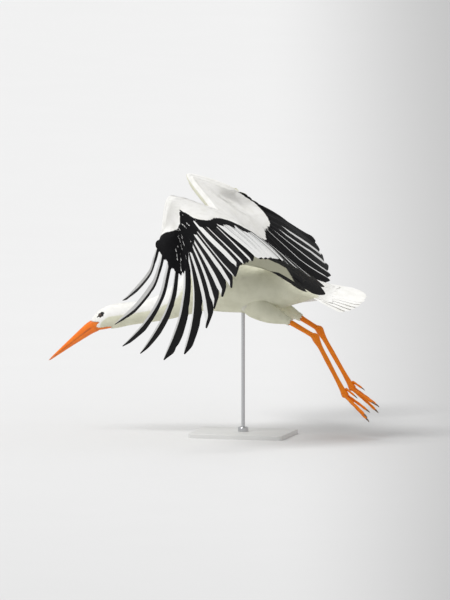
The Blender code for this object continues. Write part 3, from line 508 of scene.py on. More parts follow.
def eyeball(side):
    """Glass eye: dark brown iris round a black pupil under a clear, wet cornea."""
    material, tree, shader, where = start("glass_eye_" + side)
    sign = -1.0 if side == "left" else 1.0
    local = add(tree, "Mapping", {"Vector": where, "Location": tuple(-EYE * (1, sign, 1) - HOME)})
    ahead, _, above = add(tree, "SeparateXYZ", (local,)).node.outputs
    squares = [add(tree, "Math", (v, v), operation="MULTIPLY") for v in (ahead, above)]
    out = add(tree, "Math", (add(tree, "Math", squares, operation="ADD"),), operation="SQRT")
    rays = add(tree, "TexNoise", (local, 1 / (0.6667 * MM), 2.0))
    iris = add(tree, "Mix", (rays, "#2c1d12", "#6a4526"), **COLOUR)
    past_pupil = add(tree, "MapRange", (out, 2.1 * MM, 2.4 * MM), **SMOOTH)
    past_iris = add(tree, "MapRange", (out, 4.4 * MM, 4.9 * MM), **SMOOTH)
    tone = add(tree, "Mix", (past_pupil, "#030303", iris), **COLOUR)
    finished(tree, shader, add(tree, "Mix", (past_iris, tone, "#0a0908"), **COLOUR), 0.12)
    shader.inputs["IOR"].default_value = 1.45
    shader.inputs["Coat Weight"].default_value = 1.0
    shader.inputs["Coat Roughness"].default_value = 0.02
    return material


def lacquered_plate():
    """Display plate: sprayed pale grey lacquer on steel, with a faint orange-peel."""
    material, tree, shader, where = start("sprayed_lacquer_steel")
    peel = add(tree, "TexNoise", (where, 1 / (2 * MM), 1.0))
    cloud = add(tree, "TexNoise", (where, 1 / (111.1 * MM), 3.0))
    finished(tree, shader, add(tree, "Mix", (cloud, "#dcdcda", "#d0d0ce"), **COLOUR), 0.38, peel, 0.12)
    return material


def brushed_steel():
    """Turned and brushed stainless steel: fine rings round the rod."""
    material, tree, shader, where = start("brushed_stainless_steel")
    squeeze = (1 / (33.33 * MM), 1 / (33.33 * MM), 1 / (0.3846 * MM))
    flat = add(tree, "Mapping", {"Vector": where, "Scale": squeeze})
    rings = add(tree, "TexNoise", (flat, 1.0, 2.0))
    tone = add(tree, "Mix", (rings, "#b9babc", "#d2d3d4"), **COLOUR)
    finished(tree, shader, tone, 0.32, rings, 0.15, 0.1 * MM)
    rough = add(tree, "MapRange", (rings, 0.2, 0.8, 0.24, 0.40), **SMOOTH)
    tree.links.new(rough, shader.inputs["Roughness"])
    shader.inputs["Metallic"].default_value = 1.0
    return material


FINISH = dict(
    contour=contour_feathers(),
    flight=flight_feathers(),
    quill=quill_horn("quill_horn", "#131215", "#2b272a", 0.32),
    ivory=quill_horn("quill_horn_ivory", "#e8e2d2", "#d8d1bf", 0.38),
    skin=bird_skin(),
    bill=bill_keratin(),
    leg=leg_scutes(),
    claw=claw_horn(),
    eye_left=eyeball("left"),
    eye_right=eyeball("right"),
    plate=lacquered_plate(),
    steel=brushed_steel(),
)


# ---------------------------------------------------------------- feathers
def vane(rows, columns):
    """A closed lens of few faces, its vertices' place across, row, and side: 1 top, 0 rim, -1 under."""
    bm = bmesh.new()
    for side in (1.0, -1.0):
        rim = [[0.0 if abs(u) == 1 or r in (0, rows - 1) else side for u in columns] for r in range(rows)]
        points = [[(u, float(r), rim[r][k]) for k, u in enumerate(columns)] for r in range(rows)]
        made = set(lay_grid(bm, points))
        if side < 0:
            bmesh.ops.reverse_faces(bm, faces=[f for f in bm.faces if f.verts[0] in made])
    bmesh.ops.remove_doubles(bm, verts=bm.verts, dist=1e-5)
    bm.verts.index_update()
    verts = np.array([v.co[:] for v in bm.verts])
    faces = np.array([[v.index for v in f.verts] for f in bm.faces])
    bm.free()
    return verts, faces


def lay_vanes(
    name, template, mid, out, thick, roots, finish, marks, lead=1.0, patch=0.003, stands_for=()
):
    """One mesh of many vanes.

    mid, out: feathers x vertices x 3, the middle surface and the way out of it. roots: where each one's patch
    lies on the bake map. marks: values by name, one for each feather or for each of its vertices.
    """
    verts, faces = template
    across, row, side = verts.T
    count, size = mid.shape[:2]
    lens = np.reshape(thick, (-1, 1)) * side * (1 - 0.5 * across**2)
    co = mid + out * lens[..., None]
    own = np.broadcast_to(np.stack([(1 + across * lead) / 2, row / row.max()], -1), (count, size, 2))
    bake = roots[:, None, :] + (own - 0.5) * np.broadcast_to(patch, 2)
    mesh = bpy.data.meshes.new(name)
    mesh.vertices.add(count * size)
    mesh.vertices.foreach_set("co", (co + HOME).astype(np.float32).ravel())
    loops = (faces[None] + np.arange(count)[:, None, None] * size).ravel()
    mesh.loops.add(len(loops))
    mesh.loops.foreach_set("vertex_index", loops.astype(np.int32))
    mesh.polygons.add(len(loops) // 4)
    mesh.polygons.foreach_set("loop_start", np.arange(0, len(loops), 4, dtype=np.int32))
    for layer, uv in (("vane", own), ("OFBake", bake)):
        made = mesh.uv_layers.new(name=layer)
        made.data.foreach_set("uv", uv.reshape(-1, 2)[loops].astype(np.float32).ravel())
    for key, value in dict(marks, above=side).items():
        value = np.asarray(value, float)
        value = value[:, None] if value.shape == (count,) else value
        layer = mesh.attributes.new(key, "FLOAT", "POINT")
        layer.data.foreach_set("value", np.broadcast_to(value, (count, size)).astype(np.float32).ravel())
    mesh.update(calc_edges=True)
    mesh.shade_smooth()
    mesh.set_sharp_from_angle(angle=math.radians(60))
    return settle(name, mesh, finish, stands_for)


def lay_shafts(spine, normal, thick, count=6):
    """The quills of long feathers: a thin tapering tube on the back of each vane."""
    bm = bmesh.new()
    turn = 2 * math.pi * np.arange(count + 1) / count
    for line, up, radius in zip(spine, normal, thick):
        along = unit(np.gradient(line, axis=0))
        side = unit(np.cross(along, up))
        up = np.cross(side, along)
        ring = side[:, None] * np.cos(turn)[None, :, None] + up[:, None] * np.sin(turn)[None, :, None]
        lay_grid(bm, line[:, None] + ring * radius[:, None, None])
    bmesh.ops.remove_doubles(bm, verts=bm.verts, dist=1e-7)
    bmesh.ops.holes_fill(bm, edges=[e for e in bm.edges if e.is_boundary], sides=count + 2)
    return bm


# a small feather's rows: how far along, how wide, and how far the edges draw back from the tip
SHAPES = {
    4: ((0.0, 0.40, 0.78, 1.0), (0.50, 1.0, 0.90, 0.42), (0.0, 0.0, 0.20, 0.70)),
    5: ((0.0, 0.30, 0.60, 0.85, 1.0), (0.45, 0.92, 1.0, 0.82, 0.38), (0.0, 0.0, 0.08, 0.30, 0.70)),
    7: ((0.0, 0.18, 0.38, 0.60, 0.80, 0.93, 1.0), (0.35, 0.76, 0.96, 1.0, 0.92, 0.70, 0.34),
        (0.0, 0.0, 0.0, 0.06, 0.18, 0.36, 0.60)),
}  # fmt: skip
SMALL = vane(4, (-1.0, 0.0, 1.0))
MEDIUM = vane(5, (-1.0, -0.5, 0.5, 1.0))
LARGE = vane(7, (-1.0, -0.55, 0.0, 0.55, 1.0))
LONG_ROWS = 30
LONG = vane(LONG_ROWS, (-1.0, -0.84, -0.62, -0.38, -0.14, 0.0, 0.16, 0.40, 0.64, 0.85, 1.0))


def clothe(name, form, roots, template, long, wide, mark, thick, lap, step=0.3):
    """Small feathers lying back from their roots on a form, each tip over the next row's roots.

    lap is the height of one feather's tip over the next, step the share of its length that shows.
    """
    across, row, _ = template[0].T
    row = row.round().astype(int)
    share, width, sweep = (np.array(v, float)[row] for v in SHAPES[row.max() + 1])
    count = len(roots)
    long = (np.broadcast_to(long, count) * random.uniform(0.92, 1.10, count))[:, None]
    wide = (np.broadcast_to(wide, count) * random.uniform(0.94, 1.08, count))[:, None]
    yaw = random.normal(0.0, 0.05, count)[:, None]
    sideways = across * width * wide / 2
    back = share * long - across**2 * sweep * wide / 2
    back, sideways = back - sideways * yaw, sideways + back * yaw
    height = random.normal(0.0, 0.25 * lap, count)[:, None] * share
    height = height - lap * (1 - share) / step - 2.5 * lap * (1 - ease(share, 0.0, 0.35)) + 0.5 * lap * across
    mid, out = form.lay(roots, back, sideways, height)
    where = np.clip(form.chart(roots), 0.01, 0.99)
    marks = mark(roots, back, sideways)
    return lay_vanes(name, template, mid, out, thick, where, FINISH["contour"], marks)


# ---------------------------------------------------------------- the body's form
class Form:
    """A bent line of ovals, with points and normals anywhere on it, and feathers laid on it."""

    def __init__(self, centre, side, high, wide, power=2.0):
        self.centre, self.side, self.high, self.wide, self.power = centre, side, high, wide, power
        self.at = run_along(centre)
        self.long = self.at[-1]
        self.along = unit(np.gradient(centre, axis=0))
        self.up = unit(np.cross(self.along, side))

    def read(self, values, s):
        """What values, one for each point of the line, come to at s."""
        if values.ndim == 1:
            return np.interp(s, self.at, values)
        return np.stack([np.interp(s, self.at, values[:, k]) for k in range(values.shape[1])], -1)

    def point(self, s, t, off=0.0):
        """s metres back along the line, turned t round it (0 right, a quarter turn up), off metres out."""
        s, t = np.broadcast_arrays(np.asarray(s, float), np.asarray(t, float))
        past = np.clip(s - self.long, 0.0, None)[..., None]
        c, n = np.cos(t), np.sin(t)
        y = np.sign(c) * np.abs(c) ** (2 / self.power) * (self.read(self.wide, s) + off)
        z = np.sign(n) * np.abs(n) ** (2 / self.power) * (self.read(self.high, s) + off)
        side, up = self.read(self.side, s), self.read(self.up, s)
        return self.read(self.centre, s) + self.along[-1] * past + side * y[..., None] + up * z[..., None]

    def normal(self, s, t):
        """The way out of the form there."""
        ds = self.point(s + 0.002, t) - self.point(np.maximum(s - 0.002, 0), t)
        dt = self.point(s, t + 0.02) - self.point(s, t - 0.02)
        return unit(np.cross(dt, ds))

    def girth(self, s):
        """The oval's mean radius at s."""
        return np.maximum((self.read(self.high, s) + self.read(self.wide, s)) / 2, 0.008)

    def lay(self, roots, back, sideways, off):
        """Points and normals at these ways back and sideways from the roots, off metres out."""
        s = roots[:, :1] + back
        t = roots[:, 1:] + sideways / self.girth(s)
        return self.point(s, t, off), self.normal(s, t)

    def chart(self, roots):
        """Where the roots lie on the form's bake map, from 0 to 1."""
        return np.stack([(roots[:, 1] / (2 * math.pi)) % 1.0, roots[:, 0] / (self.long + 0.05)], 1)

    def spread(self, first, last, step, gap):
        """Staggered roots: rings step apart, feathers gap apart in each; both may change along the line."""
        found, s, ring = [], first, 0
        while s < last:
            count = max(int(2 * math.pi * self.girth(s) / gap(s)), 6)
            turn = 2 * math.pi * (np.arange(count) + 0.5 * (ring % 2) + random.normal(0, 0.10, count)) / count
            found.append(np.stack([s + random.normal(0, 0.08, count) * step(s), turn], 1))
            s += step(s)
            ring += 1
        return np.concatenate(found)


def body_form():
    """Head, neck and trunk as one bent line of ovals, rolled with the tail at its end."""
    line = smooth_line(np.column_stack([BODY[:, 0], np.zeros(len(BODY)), BODY[:, 1], BODY[:, 2:]]), 500)
    along = unit(np.gradient(line[:, :3], axis=0))
    up = np.stack([-along[:, 2], np.zeros(len(line)), along[:, 0]], 1)
    roll = math.radians(TAIL_ROLL) * ease(line[:, 0], 0.12, TAIL_START[0])[:, None]
    side = np.array([[0.0, 1.0, 0.0]]) * np.cos(roll) + up * np.sin(roll)
    return Form(line[:, :3], side, line[:, 3], line[:, 4], ROUNDNESS)


BIRD = body_form()


def station(x):
    """How far back from the face the body's line reaches x."""
    return np.interp(x, BIRD.centre[:, 0], BIRD.at)


S_CHEST, S_RUMP, S_END = station(-0.112), station(0.170), station(0.262)
COAT_AT = (0.0, 0.03, 0.10, 0.20, 0.35, 0.65, 0.72, 0.76)  # back from the face
COAT_DEEP = (0.0012, 0.0018, 0.0035, 0.0050, 0.0070, 0.0070, 0.0035, 0.0020)


def coat_depth(s):
    """How thick the coat lies over the skin."""
    return np.interp(s, COAT_AT, COAT_DEEP)


def shaded_white(s, t):
    """How far painted shade greys the white: the throat, the lower neck, and the trunk up to its back."""
    at = (0.008, 0.03, 0.06, 0.10, 0.20, 0.30, 0.36, 0.66, 0.76)
    edge = np.interp(s, at, (-0.75, -0.10, 0.10, 0.05, 0.05, 0.2, 0.72, 0.72, 0.50))
    vent = s - station(0.200) - 0.046 * (np.sin(t) + 1)
    return 0.6 * ease(edge - np.sin(t), -0.06, 0.10) * (1 - ease(vent, 0.0, 0.012))


def eye_patch(points):
    """Below 1 on the black bare skin round the eye, drawn out before and behind it."""
    near = np.stack([points[..., 0] - EYE[0], points[..., 2] - EYE[2]], -1)
    slope = unit(np.array([-0.83, -0.56]))
    ahead = near @ slope
    off = near @ np.array([-slope[1], slope[0]])
    reach = np.where(ahead > 0, 0.0180, 0.0160)
    tall = np.interp(ahead, (-0.015, -0.008, 0.0, 0.016), (0.0025, 0.0070, 0.0090, 0.0030))
    inward = np.clip(0.0125 - np.abs(points[..., 1]), 0.0, None)  # it stays off the forehead
    return (ahead / reach) ** 2 + (off / tall) ** 2 + (inward / 0.0010) ** 2


def gape_skin(points):
    """Above 0 on the orange skin at the bill's base: one lobe toward the eye, one back along the jaw."""
    along, up, _ = bill_frame()
    rel = points - BILL_BASE
    behind, high = -(rel @ along), rel @ up
    top = 0.0200 - 0.80 * behind
    notch = np.interp(behind, (0.0, 0.009, 0.028), (-0.030, -0.0073, -0.0030))
    upper = np.minimum(top - high, high - notch)
    jaw = np.interp(behind, (0.009, 0.012, 0.049), (-0.0073, -0.0136, -0.0343))
    floor = np.interp(behind, (0.0, 0.016, 0.030, 0.049), (-0.030, -0.050, -0.046, -0.036))
    lower = np.minimum(jaw - high, high - floor)
    inside = np.maximum(upper, lower)
    return np.where((behind < 0.050) & (points[..., 0] < -0.40), inside, -0.01)


def clothe_body():
    """Feathers on head, neck, trunk and rump, growing longer and broader from the face back."""

    def mark(roots, back, sideways):
        s = roots[:, :1] + back
        # painted shade under the body, greying the feathers there
        return dict(stain=shaded_white(s, roots[:, 1:] + sideways / BIRD.girth(s)), dark=np.zeros(len(roots)))

    head = BIRD.spread(0.0008, 0.118, lambda s: 0.0019 + 0.018 * s, lambda s: 0.0026 + 0.018 * s)
    points = BIRD.point(head[:, 0], head[:, 1])
    tips = BIRD.point(head[:, 0] + 0.004, head[:, 1])
    bare = (eye_patch(points) < 1.0) | (eye_patch(tips) < 0.9)
    bare |= (gape_skin(points) > 0) | (gape_skin(tips) > 0.0008)
    head = head[~bare]
    back = head[:, 0]
    clothe("coat_head", BIRD, head, SMALL, 0.0070 + 0.11 * back, 0.0050 + 0.045 * back, mark, 0.0002, 0.00011)
    neck = BIRD.spread(0.105, S_CHEST, lambda s: 0.0068, lambda s: 0.0080)
    back = neck[:, 0] - 0.1
    clothe("coat_neck", BIRD, neck, MEDIUM, 0.021 + 0.06 * back, 0.0135 + 0.012 * back, mark, 0.0003, 0.00020)
    trunk = BIRD.spread(S_CHEST - 0.01, S_RUMP + 0.02, lambda s: 0.0110, lambda s: 0.0135)
    clothe("coat_trunk", BIRD, trunk, MEDIUM, 0.044, 0.025, mark, 0.0003, 0.00026, 0.25)
    rump = BIRD.spread(S_RUMP + 0.01, S_END - 0.002, lambda s: 0.0100, lambda s: 0.0120)
    clothe("coat_rump", BIRD, rump, MEDIUM, 0.052, 0.026, mark, 0.0003, 0.00026, 0.25)


# ---------------------------------------------------------------- skin
def make_skin(cores):
    """One skin for head, neck, trunk, thighs and the arms of the wings, lying under the coat."""
    s, t = np.meshgrid(np.linspace(0.0, S_END - 0.004, 90), 2 * math.pi * np.arange(32) / 32, indexing="ij")
    parts = [loft(BIRD.point(s, t, -coat_depth(s) - 0.0008))]
    parts += [thigh_core(leg) for leg in LEGS.values()] + cores
    joined = bpy.data.meshes.new("skin_parts")
    bm = bmesh.new()
    for part in parts:
        bmesh.ops.recalc_face_normals(part, faces=part.faces)
        part.to_mesh(joined)
        bm.from_mesh(joined)
        part.free()
    bm.to_mesh(joined)
    bm.free()
    obj = bpy.data.objects.new("skin_form", joined)
    bpy.context.scene.collection.objects.link(obj)
    remesh = obj.modifiers.new("one_skin", "REMESH")
    remesh.mode, remesh.voxel_size, remesh.use_smooth_shade = "VOXEL", 0.0026, True
    calm = obj.modifiers.new("calm", "SMOOTH")
    calm.factor, calm.iterations = 0.5, 4
    mesh = bpy.data.meshes.new_from_object(obj.evaluated_get(bpy.context.evaluated_depsgraph_get()))
    bpy.data.objects.remove(obj)
    co = np.zeros(len(mesh.vertices) * 3)
    mesh.vertices.foreach_get("co", co)
    co = co.reshape(-1, 3)
    at = station(co[:, 0])
    rel = co - BIRD.read(BIRD.centre, at)
    turn = np.arctan2((rel * BIRD.read(BIRD.up, at)).sum(1), (rel * BIRD.read(BIRD.side, at)).sum(1))
    # painted shade greys the skin where it greys the feathers
    marks = dict(
        stain=shaded_white(at, turn) * (np.abs(co[:, 1]) < 0.085),
        dark=ease(1.6 - eye_patch(co), 0.0, 0.5) * (co[:, 0] < -0.40),
        gape=ease(gape_skin(co), -0.0004, 0.0006),
    )
    for key, value in marks.items():
        layer = mesh.attributes.new(key, "FLOAT", "POINT")
        layer.data.foreach_set("value", value.astype(np.float32))
    mesh.vertices.foreach_set("co", (co + HOME).astype(np.float32).ravel())
    mesh.name = "skin"
    mesh.update()
    mesh.shade_smooth()
    flesh = ["head", "neck_upper", "neck_middle", "neck_lower", "trunk", "thigh_left", "thigh_right"]
    return settle("skin", mesh, FINISH["skin"], stands_for=flesh)


def leg_point(leg, key):
    """A point of a leg, on its own side of the body."""
    x, y, z = leg[key]
    return np.array([x, leg["side"] * y, z])


def thigh_line(leg, count=40):
    """The thigh's line, its radii and its width against its depth."""
    hip, knee, end = leg_point(leg, "hip"), leg_point(leg, "knee"), leg_point(leg, "thigh_end")
    knots = [hip, (hip + knee) / 2, knee, knee * 0.45 + end * 0.55, end]
    line = smooth_line(np.column_stack([knots, THIGH_RADII, THIGH_FLAT]), count)
    return line[:, :3], line[:, 3], line[:, 4]


def thigh_core(leg):
    """The thigh under its feathers."""
    points, radii, flat = thigh_line(leg, 24)
    radii = np.maximum(radii - 0.0045, 0.0085)
    return tube(points, radii * flat, radii, count=20)


def clothe_thigh(side, leg):
    """The feathered thigh, closing in a ragged cuff round the bare shank."""
    points, radii, flat = thigh_line(leg)
    run = unit(leg_point(leg, "ankle") - points[-1])
    points = np.concatenate([points, points[-1] + run * np.linspace(0.004, 0.032, 8)[:, None]])
    radii = np.concatenate([radii, np.linspace(radii[-1], 0.0092, 8)])
    flat = np.concatenate([flat, np.full(8, flat[-1])])
    form = Form(points, np.tile([0.0, 1.0, 0.0], (len(points), 1)), radii, radii * flat + 0.0022)
    last = form.at[len(points) - 9]
    roots = form.spread(0.015, last - 0.004, lambda s: 0.0080, lambda s: 0.0092)
    long = np.interp(roots[:, 0], (0.0, last), (0.036, 0.024))
    wide = np.interp(roots[:, 0], (0.0, last), (0.020, 0.0105))

    def mark(roots, back, sideways):
        # painted shade over the whole thigh
        return dict(stain=np.full(len(roots), 0.6), dark=np.zeros(len(roots)))

    clothe("coat_thigh_" + side, form, roots, MEDIUM, long, wide, mark, 0.0004, 0.0004)


# ---------------------------------------------------------------- wings
def soften(values, passes):
    """Rows of values eased toward their neighbours, the first and last kept."""
    out = np.array(values, float)
    for _ in range(passes):
        eased = out.copy()
        eased[1:-1] = out[1:-1] * 0.5 + (out[:-2] + out[2:]) * 0.25
        out = eased
    return out


def rib_line(front, bone, tip, bow):
    """One feather's chord line: two rows ahead of the bone, then ROWS behind it."""
    lengths = np.linalg.norm(bone - front), np.linalg.norm(tip - bone)
    knots = np.array([front, bone, (bone + tip) / 2 + bow, tip])
    times = np.array([-lengths[0], 0.0, lengths[1] / 2, lengths[1]])
    at = np.array([-lengths[0], -0.5 * lengths[0]] + [r * lengths[1] for r in ROWS])
    gaps = np.diff(times)
    slopes = np.diff(knots, axis=0) / gaps[:, None]
    tangent = np.zeros_like(knots)
    tangent[0] = slopes[0]
    for k in (1, 2):
        w = gaps[k - 1] / (gaps[k - 1] + gaps[k])
        tangent[k] = slopes[k - 1] * (1 - w) + slopes[k] * w
    tangent[3] = slopes[2] * 1.5 - tangent[2] * 0.5
    return hermite(knots, tangent, times, at)


def wing_lines(side):
    """Every flight feather's line from the leading edge to its tip, and the wing's depth at its bone."""
    sign = -1.0 if side == "left" else 1.0
    shoulder, elbow, wrist, end = [np.array(b) for b in BONES[side]]
    tips = np.array(TIPS[side])
    fold = FOLD[side]
    lift, span = unit(wrist - shoulder), np.linalg.norm(wrist - shoulder)
    fronts, roots, bows, thick = [], [], [], []
    for i, tip in enumerate(tips):
        if i < TERTIALS:
            w = -0.02 + 0.96 * (i + 0.5) / TERTIALS
            bone = shoulder * (1 - w) + elbow * w
            deep = BONE_THICK[0] * (1 - w) + BONE_THICK[1] * w
            foot = shoulder + lift * float(np.dot(bone - shoulder, lift))
            near = np.linalg.norm(foot - bone) <= 0.02
            front = bone - np.array([0.03, 0, 0]) if near else foot + unit(foot - bone) * 0.012
            front = bone + (front - bone) * (1 - max(w, 0.0) * (1 - fold))
        elif i < TERTIALS + SECONDARIES:
            w = (i - TERTIALS + 0.35) / SECONDARIES
            bone = elbow * (1 - w) + wrist * w
            deep = BONE_THICK[1] * (1 - w) + BONE_THICK[2] * w
            foot = shoulder + lift * min(float(np.dot(bone - shoulder, lift)), span)
            front = (foot + unit(foot - bone) * 0.010) * (1 - w) + (bone + unit(bone - tip) * WRIST_LEAD) * w
            front = bone + (front - bone) * (fold + (1 - fold) * max(0.0, (w - 0.55) / 0.45))
        else:
            w = (i - TERTIALS - SECONDARIES + 0.6) / PRIMARIES
            bone = wrist * (1 - w) + end * w
            deep = BONE_THICK[2] * (1 - w) + BONE_THICK[3] * w
            reach, out = unit(bone - tip), unit(end - wrist)
            ahead = unit(reach * (1 - 0.6 * w) + unit(bone - elbow) * 0.8 * (1 - w) + out * 0.8 * w)
            front = bone + ahead * (HAND_LEAD[side][0] * (1 - w) + HAND_LEAD[side][1] * w)
        fronts.append(front)
        roots.append(bone)
        thick.append(deep)
    inward = unit(tips[TERTIALS + SECONDARIES] - tips[-1])
    for i, tip in enumerate(tips):
        chord = tip - roots[i]
        long = np.linalg.norm(chord)
        dorsal = unit(np.cross(tips[min(i + 1, QUILLS - 1)] - tips[max(i - 1, 0)], chord)) * -sign
        if i < TERTIALS + SECONDARIES:
            bows.append(dorsal * BOW_ARM * long)
        else:
            level = unit(inward - chord * float(np.dot(inward, chord)) / long**2)
            bow = BOW_HAND[side][i - TERTIALS - SECONDARIES] * long
            bows.append((dorsal * 0.75 + level * SWEEP[side]) * bow)
    bows, fronts, roots = (soften(v, 2) for v in (bows, fronts, roots))
    lines = np.array([rib_line(f, r, t, b) for f, r, t, b in zip(fronts, roots, tips, bows)])
    calm = soften(lines, 2)
    keep = np.clip((np.arange(lines.shape[1]) - 4) / (lines.shape[1] - 5), 0.0, 1.0)[None, :, None]
    return calm * (1 - keep) + lines * keep, np.array(thick)


# by feather number, upper side, in mm behind the bone: where the white ends and black begins
WHITE_ENDS = {
    "left": (
        60, 64, 67, 70, 75, 90, 110, 129, 123, 101, 87, 84, 82, 87, 94, 101, 102, 95, 67, 36, 54, 65, 61,
        51, 39, 30, 25, 2, -20, -40,
    ),
    "right": (
        60, 64, 67, 71, 75, 83, 92, 100, 110, 123, 137, 151, 165, 178, 190, 203, 215, 230, 245, 265, 290,
        288, 255, 237, 227, 200, 170, 138, 98, 20,
    ),
}  # fmt: skip
# and where the last row of coverts ends
COVERTS_END = {
    "left": (
        75, 78, 81, 85, 95, 110, 135, 148, 150, 130, 122, 116, 120, 124, 132, 138, 134, 131, 130, 134, 146,
        157, 166, 180, 190, 169, 138, 113, 95, 80,
    ),
    "right": tuple(max(mm + 3, 60) for mm in WHITE_ENDS["right"][:-2]) + (90, 50),
}  # fmt: skip
NOSE = 0.006  # how far back the leading edge rounds over


class Wing:
    """The wing's surfaces by feather number and distance back from the leading edge."""

    def __init__(self, side):
        self.side, self.sign = side, -1.0 if side == "left" else 1.0
        self.lines, thick = wing_lines(side)
        self.back = np.array([run_along(line) for line in self.lines])
        self.bone, self.long = self.back[:, 2], self.back[:, -1]
        deep = np.array([[0.005, 0.45 * b] + [max(b * f, 0.0016) for f in ROW_THICK] for b in thick])
        # every surface is a grid: over steps from one feather to the next, by shares of the way back
        self.over = 4
        self.shares = np.linspace(0.0, 1.0, 121) ** 1.6
        runs, halves = [], []
        for i in range(QUILLS):
            fine = smooth_line(self.lines[i], 500)
            d = run_along(fine)
            runs.append(np.stack([np.interp(self.shares * d[-1], d, fine[:, k]) for k in range(3)], 1))
            halves.append(np.interp(self.shares * self.long[i], self.back[i], deep[i]) / 2)
        number = np.arange(QUILLS)
        count = (QUILLS - 1) * self.over + 1
        self.mid = smooth_line(np.reshape(runs, (QUILLS, -1)), count, number).reshape(count, -1, 3)
        half = smooth_line(np.array(halves), count, number)
        self.normal = self.facing(self.mid)
        spot = np.linspace(0, QUILLS - 1, count)[:, None]
        d = self.shares * self.reach(spot)
        cover = d - self.at_bone(spot)
        self.pitch = np.linalg.norm(np.gradient(self.mid, axis=0), axis=2)[..., None] * self.over
        self.tops = {}
        for face in (1.0, -1.0):
            end = self.coverts_end(spot, face)
            close = ease(cover / end, 0.35, 0.95)
            rise = half * (1 - close) + np.minimum(half, 0.0016) * close
            rise = rise * np.sqrt(np.clip(1 - (1 - np.minimum(d / NOSE, 1.0)) ** 2, 0.0, 1.0))
            top = self.mid + self.normal * (rise * face)[..., None]
            self.tops[face] = top, self.facing(top) * face
        self.half = half[..., None]

    def facing(self, grid):
        """Soft normals of a grid, up and out of the wing's upper side."""
        normal = unit(np.cross(np.gradient(grid, axis=0), np.gradient(grid, axis=1))) * -self.sign
        return unit(soften(normal, 3))

    def reach(self, i):
        """How far feather i reaches from the leading edge."""
        return np.interp(i, np.arange(QUILLS), self.long)

    def at_bone(self, i):
        """How far behind the leading edge the bone lies."""
        return np.interp(i, np.arange(QUILLS), self.bone)

    def white_ends(self, i):
        """How far behind the bone the upper side's white ends."""
        return np.interp(i, np.arange(QUILLS + 1), WHITE_ENDS[self.side]) * MM

    def coverts_end(self, i, face=1.0):
        """How far behind the bone the last coverts end, on the upper side or, at face -1, the under."""
        upper = np.interp(i, np.arange(QUILLS + 1), COVERTS_END[self.side]) * MM
        return upper if face > 0 else np.minimum(upper * 0.9, (self.reach(i) - self.at_bone(i)) * 0.42)

    def read(self, values, i, d):
        """Bilinear reading of a grid; i may run a little past either end."""
        i, d = np.broadcast_arrays(np.asarray(i, float), np.asarray(d, float))
        a = np.clip(np.floor(i * self.over).astype(int), 0, len(values) - 2)
        fu = (i * self.over - a)[..., None]
        v = np.interp(d / self.reach(i), self.shares, np.arange(len(self.shares)))
        b = np.clip(np.floor(v).astype(int), 0, len(self.shares) - 2)
        fv = (v - b)[..., None]
        near = values[a, b] * (1 - fv) + values[a, b + 1] * fv
        far = values[a + 1, b] * (1 - fv) + values[a + 1, b + 1] * fv
        return near * (1 - fu) + far * fu

    def lay(self, roots, back, sideways, off):
        """Points and normals on one side, at these ways back and sideways from the roots, off metres out."""
        i, d = self.reached(roots, back, sideways)
        face = roots[0, 2]
        top, normal = self.tops[face]
        n = unit(self.read(normal, i, d))
        return self.read(top, i, d) + n * off[..., None], n

    def reached(self, roots, back, sideways):
        """The feather number and distance that these ways back and sideways come to."""
        d = roots[:, 1:2] + back
        d = np.where(d < 0.0015, np.maximum(0.0015 + (d - 0.0015) * 0.1, 0.0002), d)
        pitch = np.maximum(self.read(self.pitch, roots[:, :1], d)[..., 0], 0.0035)
        return roots[:, :1] + np.clip(sideways / pitch, -2.2, 2.2), d

    def chart(self, roots):
        """Where the roots lie on the form's bake map, from 0 to 1."""
        return np.stack([(roots[:, 0] + 1) / (QUILLS + 2), roots[:, 1] / 0.5], 1)


WINGS = {side: Wing(side) for side in ("left", "right")}


def arm_core(wing):
    """The fleshy part of the wing, from the leading edge to just behind the bones."""
    i = np.linspace(0.0, QUILLS - 1.0, 70)[:, None]
    share = np.array([0.0, 0.25, 0.5, 0.75, 1.0, 1.25, 1.5, 1.75])
    bone = wing.at_bone(i)
    d = np.where(share <= 1, 0.004 + share * (bone - 0.004), bone + (share - 1) * 0.05)
    half = np.maximum(wing.read(wing.half, i, d) - 0.0030, 0.0015)
    mid, n = wing.read(wing.mid, i, d), wing.read(wing.normal, i, d)
    return slab(mid + n * half, mid - n * half)


# each row of coverts: where its tips lie, as a share of the way to the last row's, and its feathers' length
COVERT_ROWS = (
    (0.050, 0.016), (0.095, 0.017), (0.145, 0.019), (0.195, 0.021), (0.250, 0.024), (0.310, 0.028),
    (0.375, 0.032), (0.450, 0.038), (0.535, 0.045), (0.650, 0.056), (0.800, 0.075), (1.000, 0.098),
)  # fmt: skip


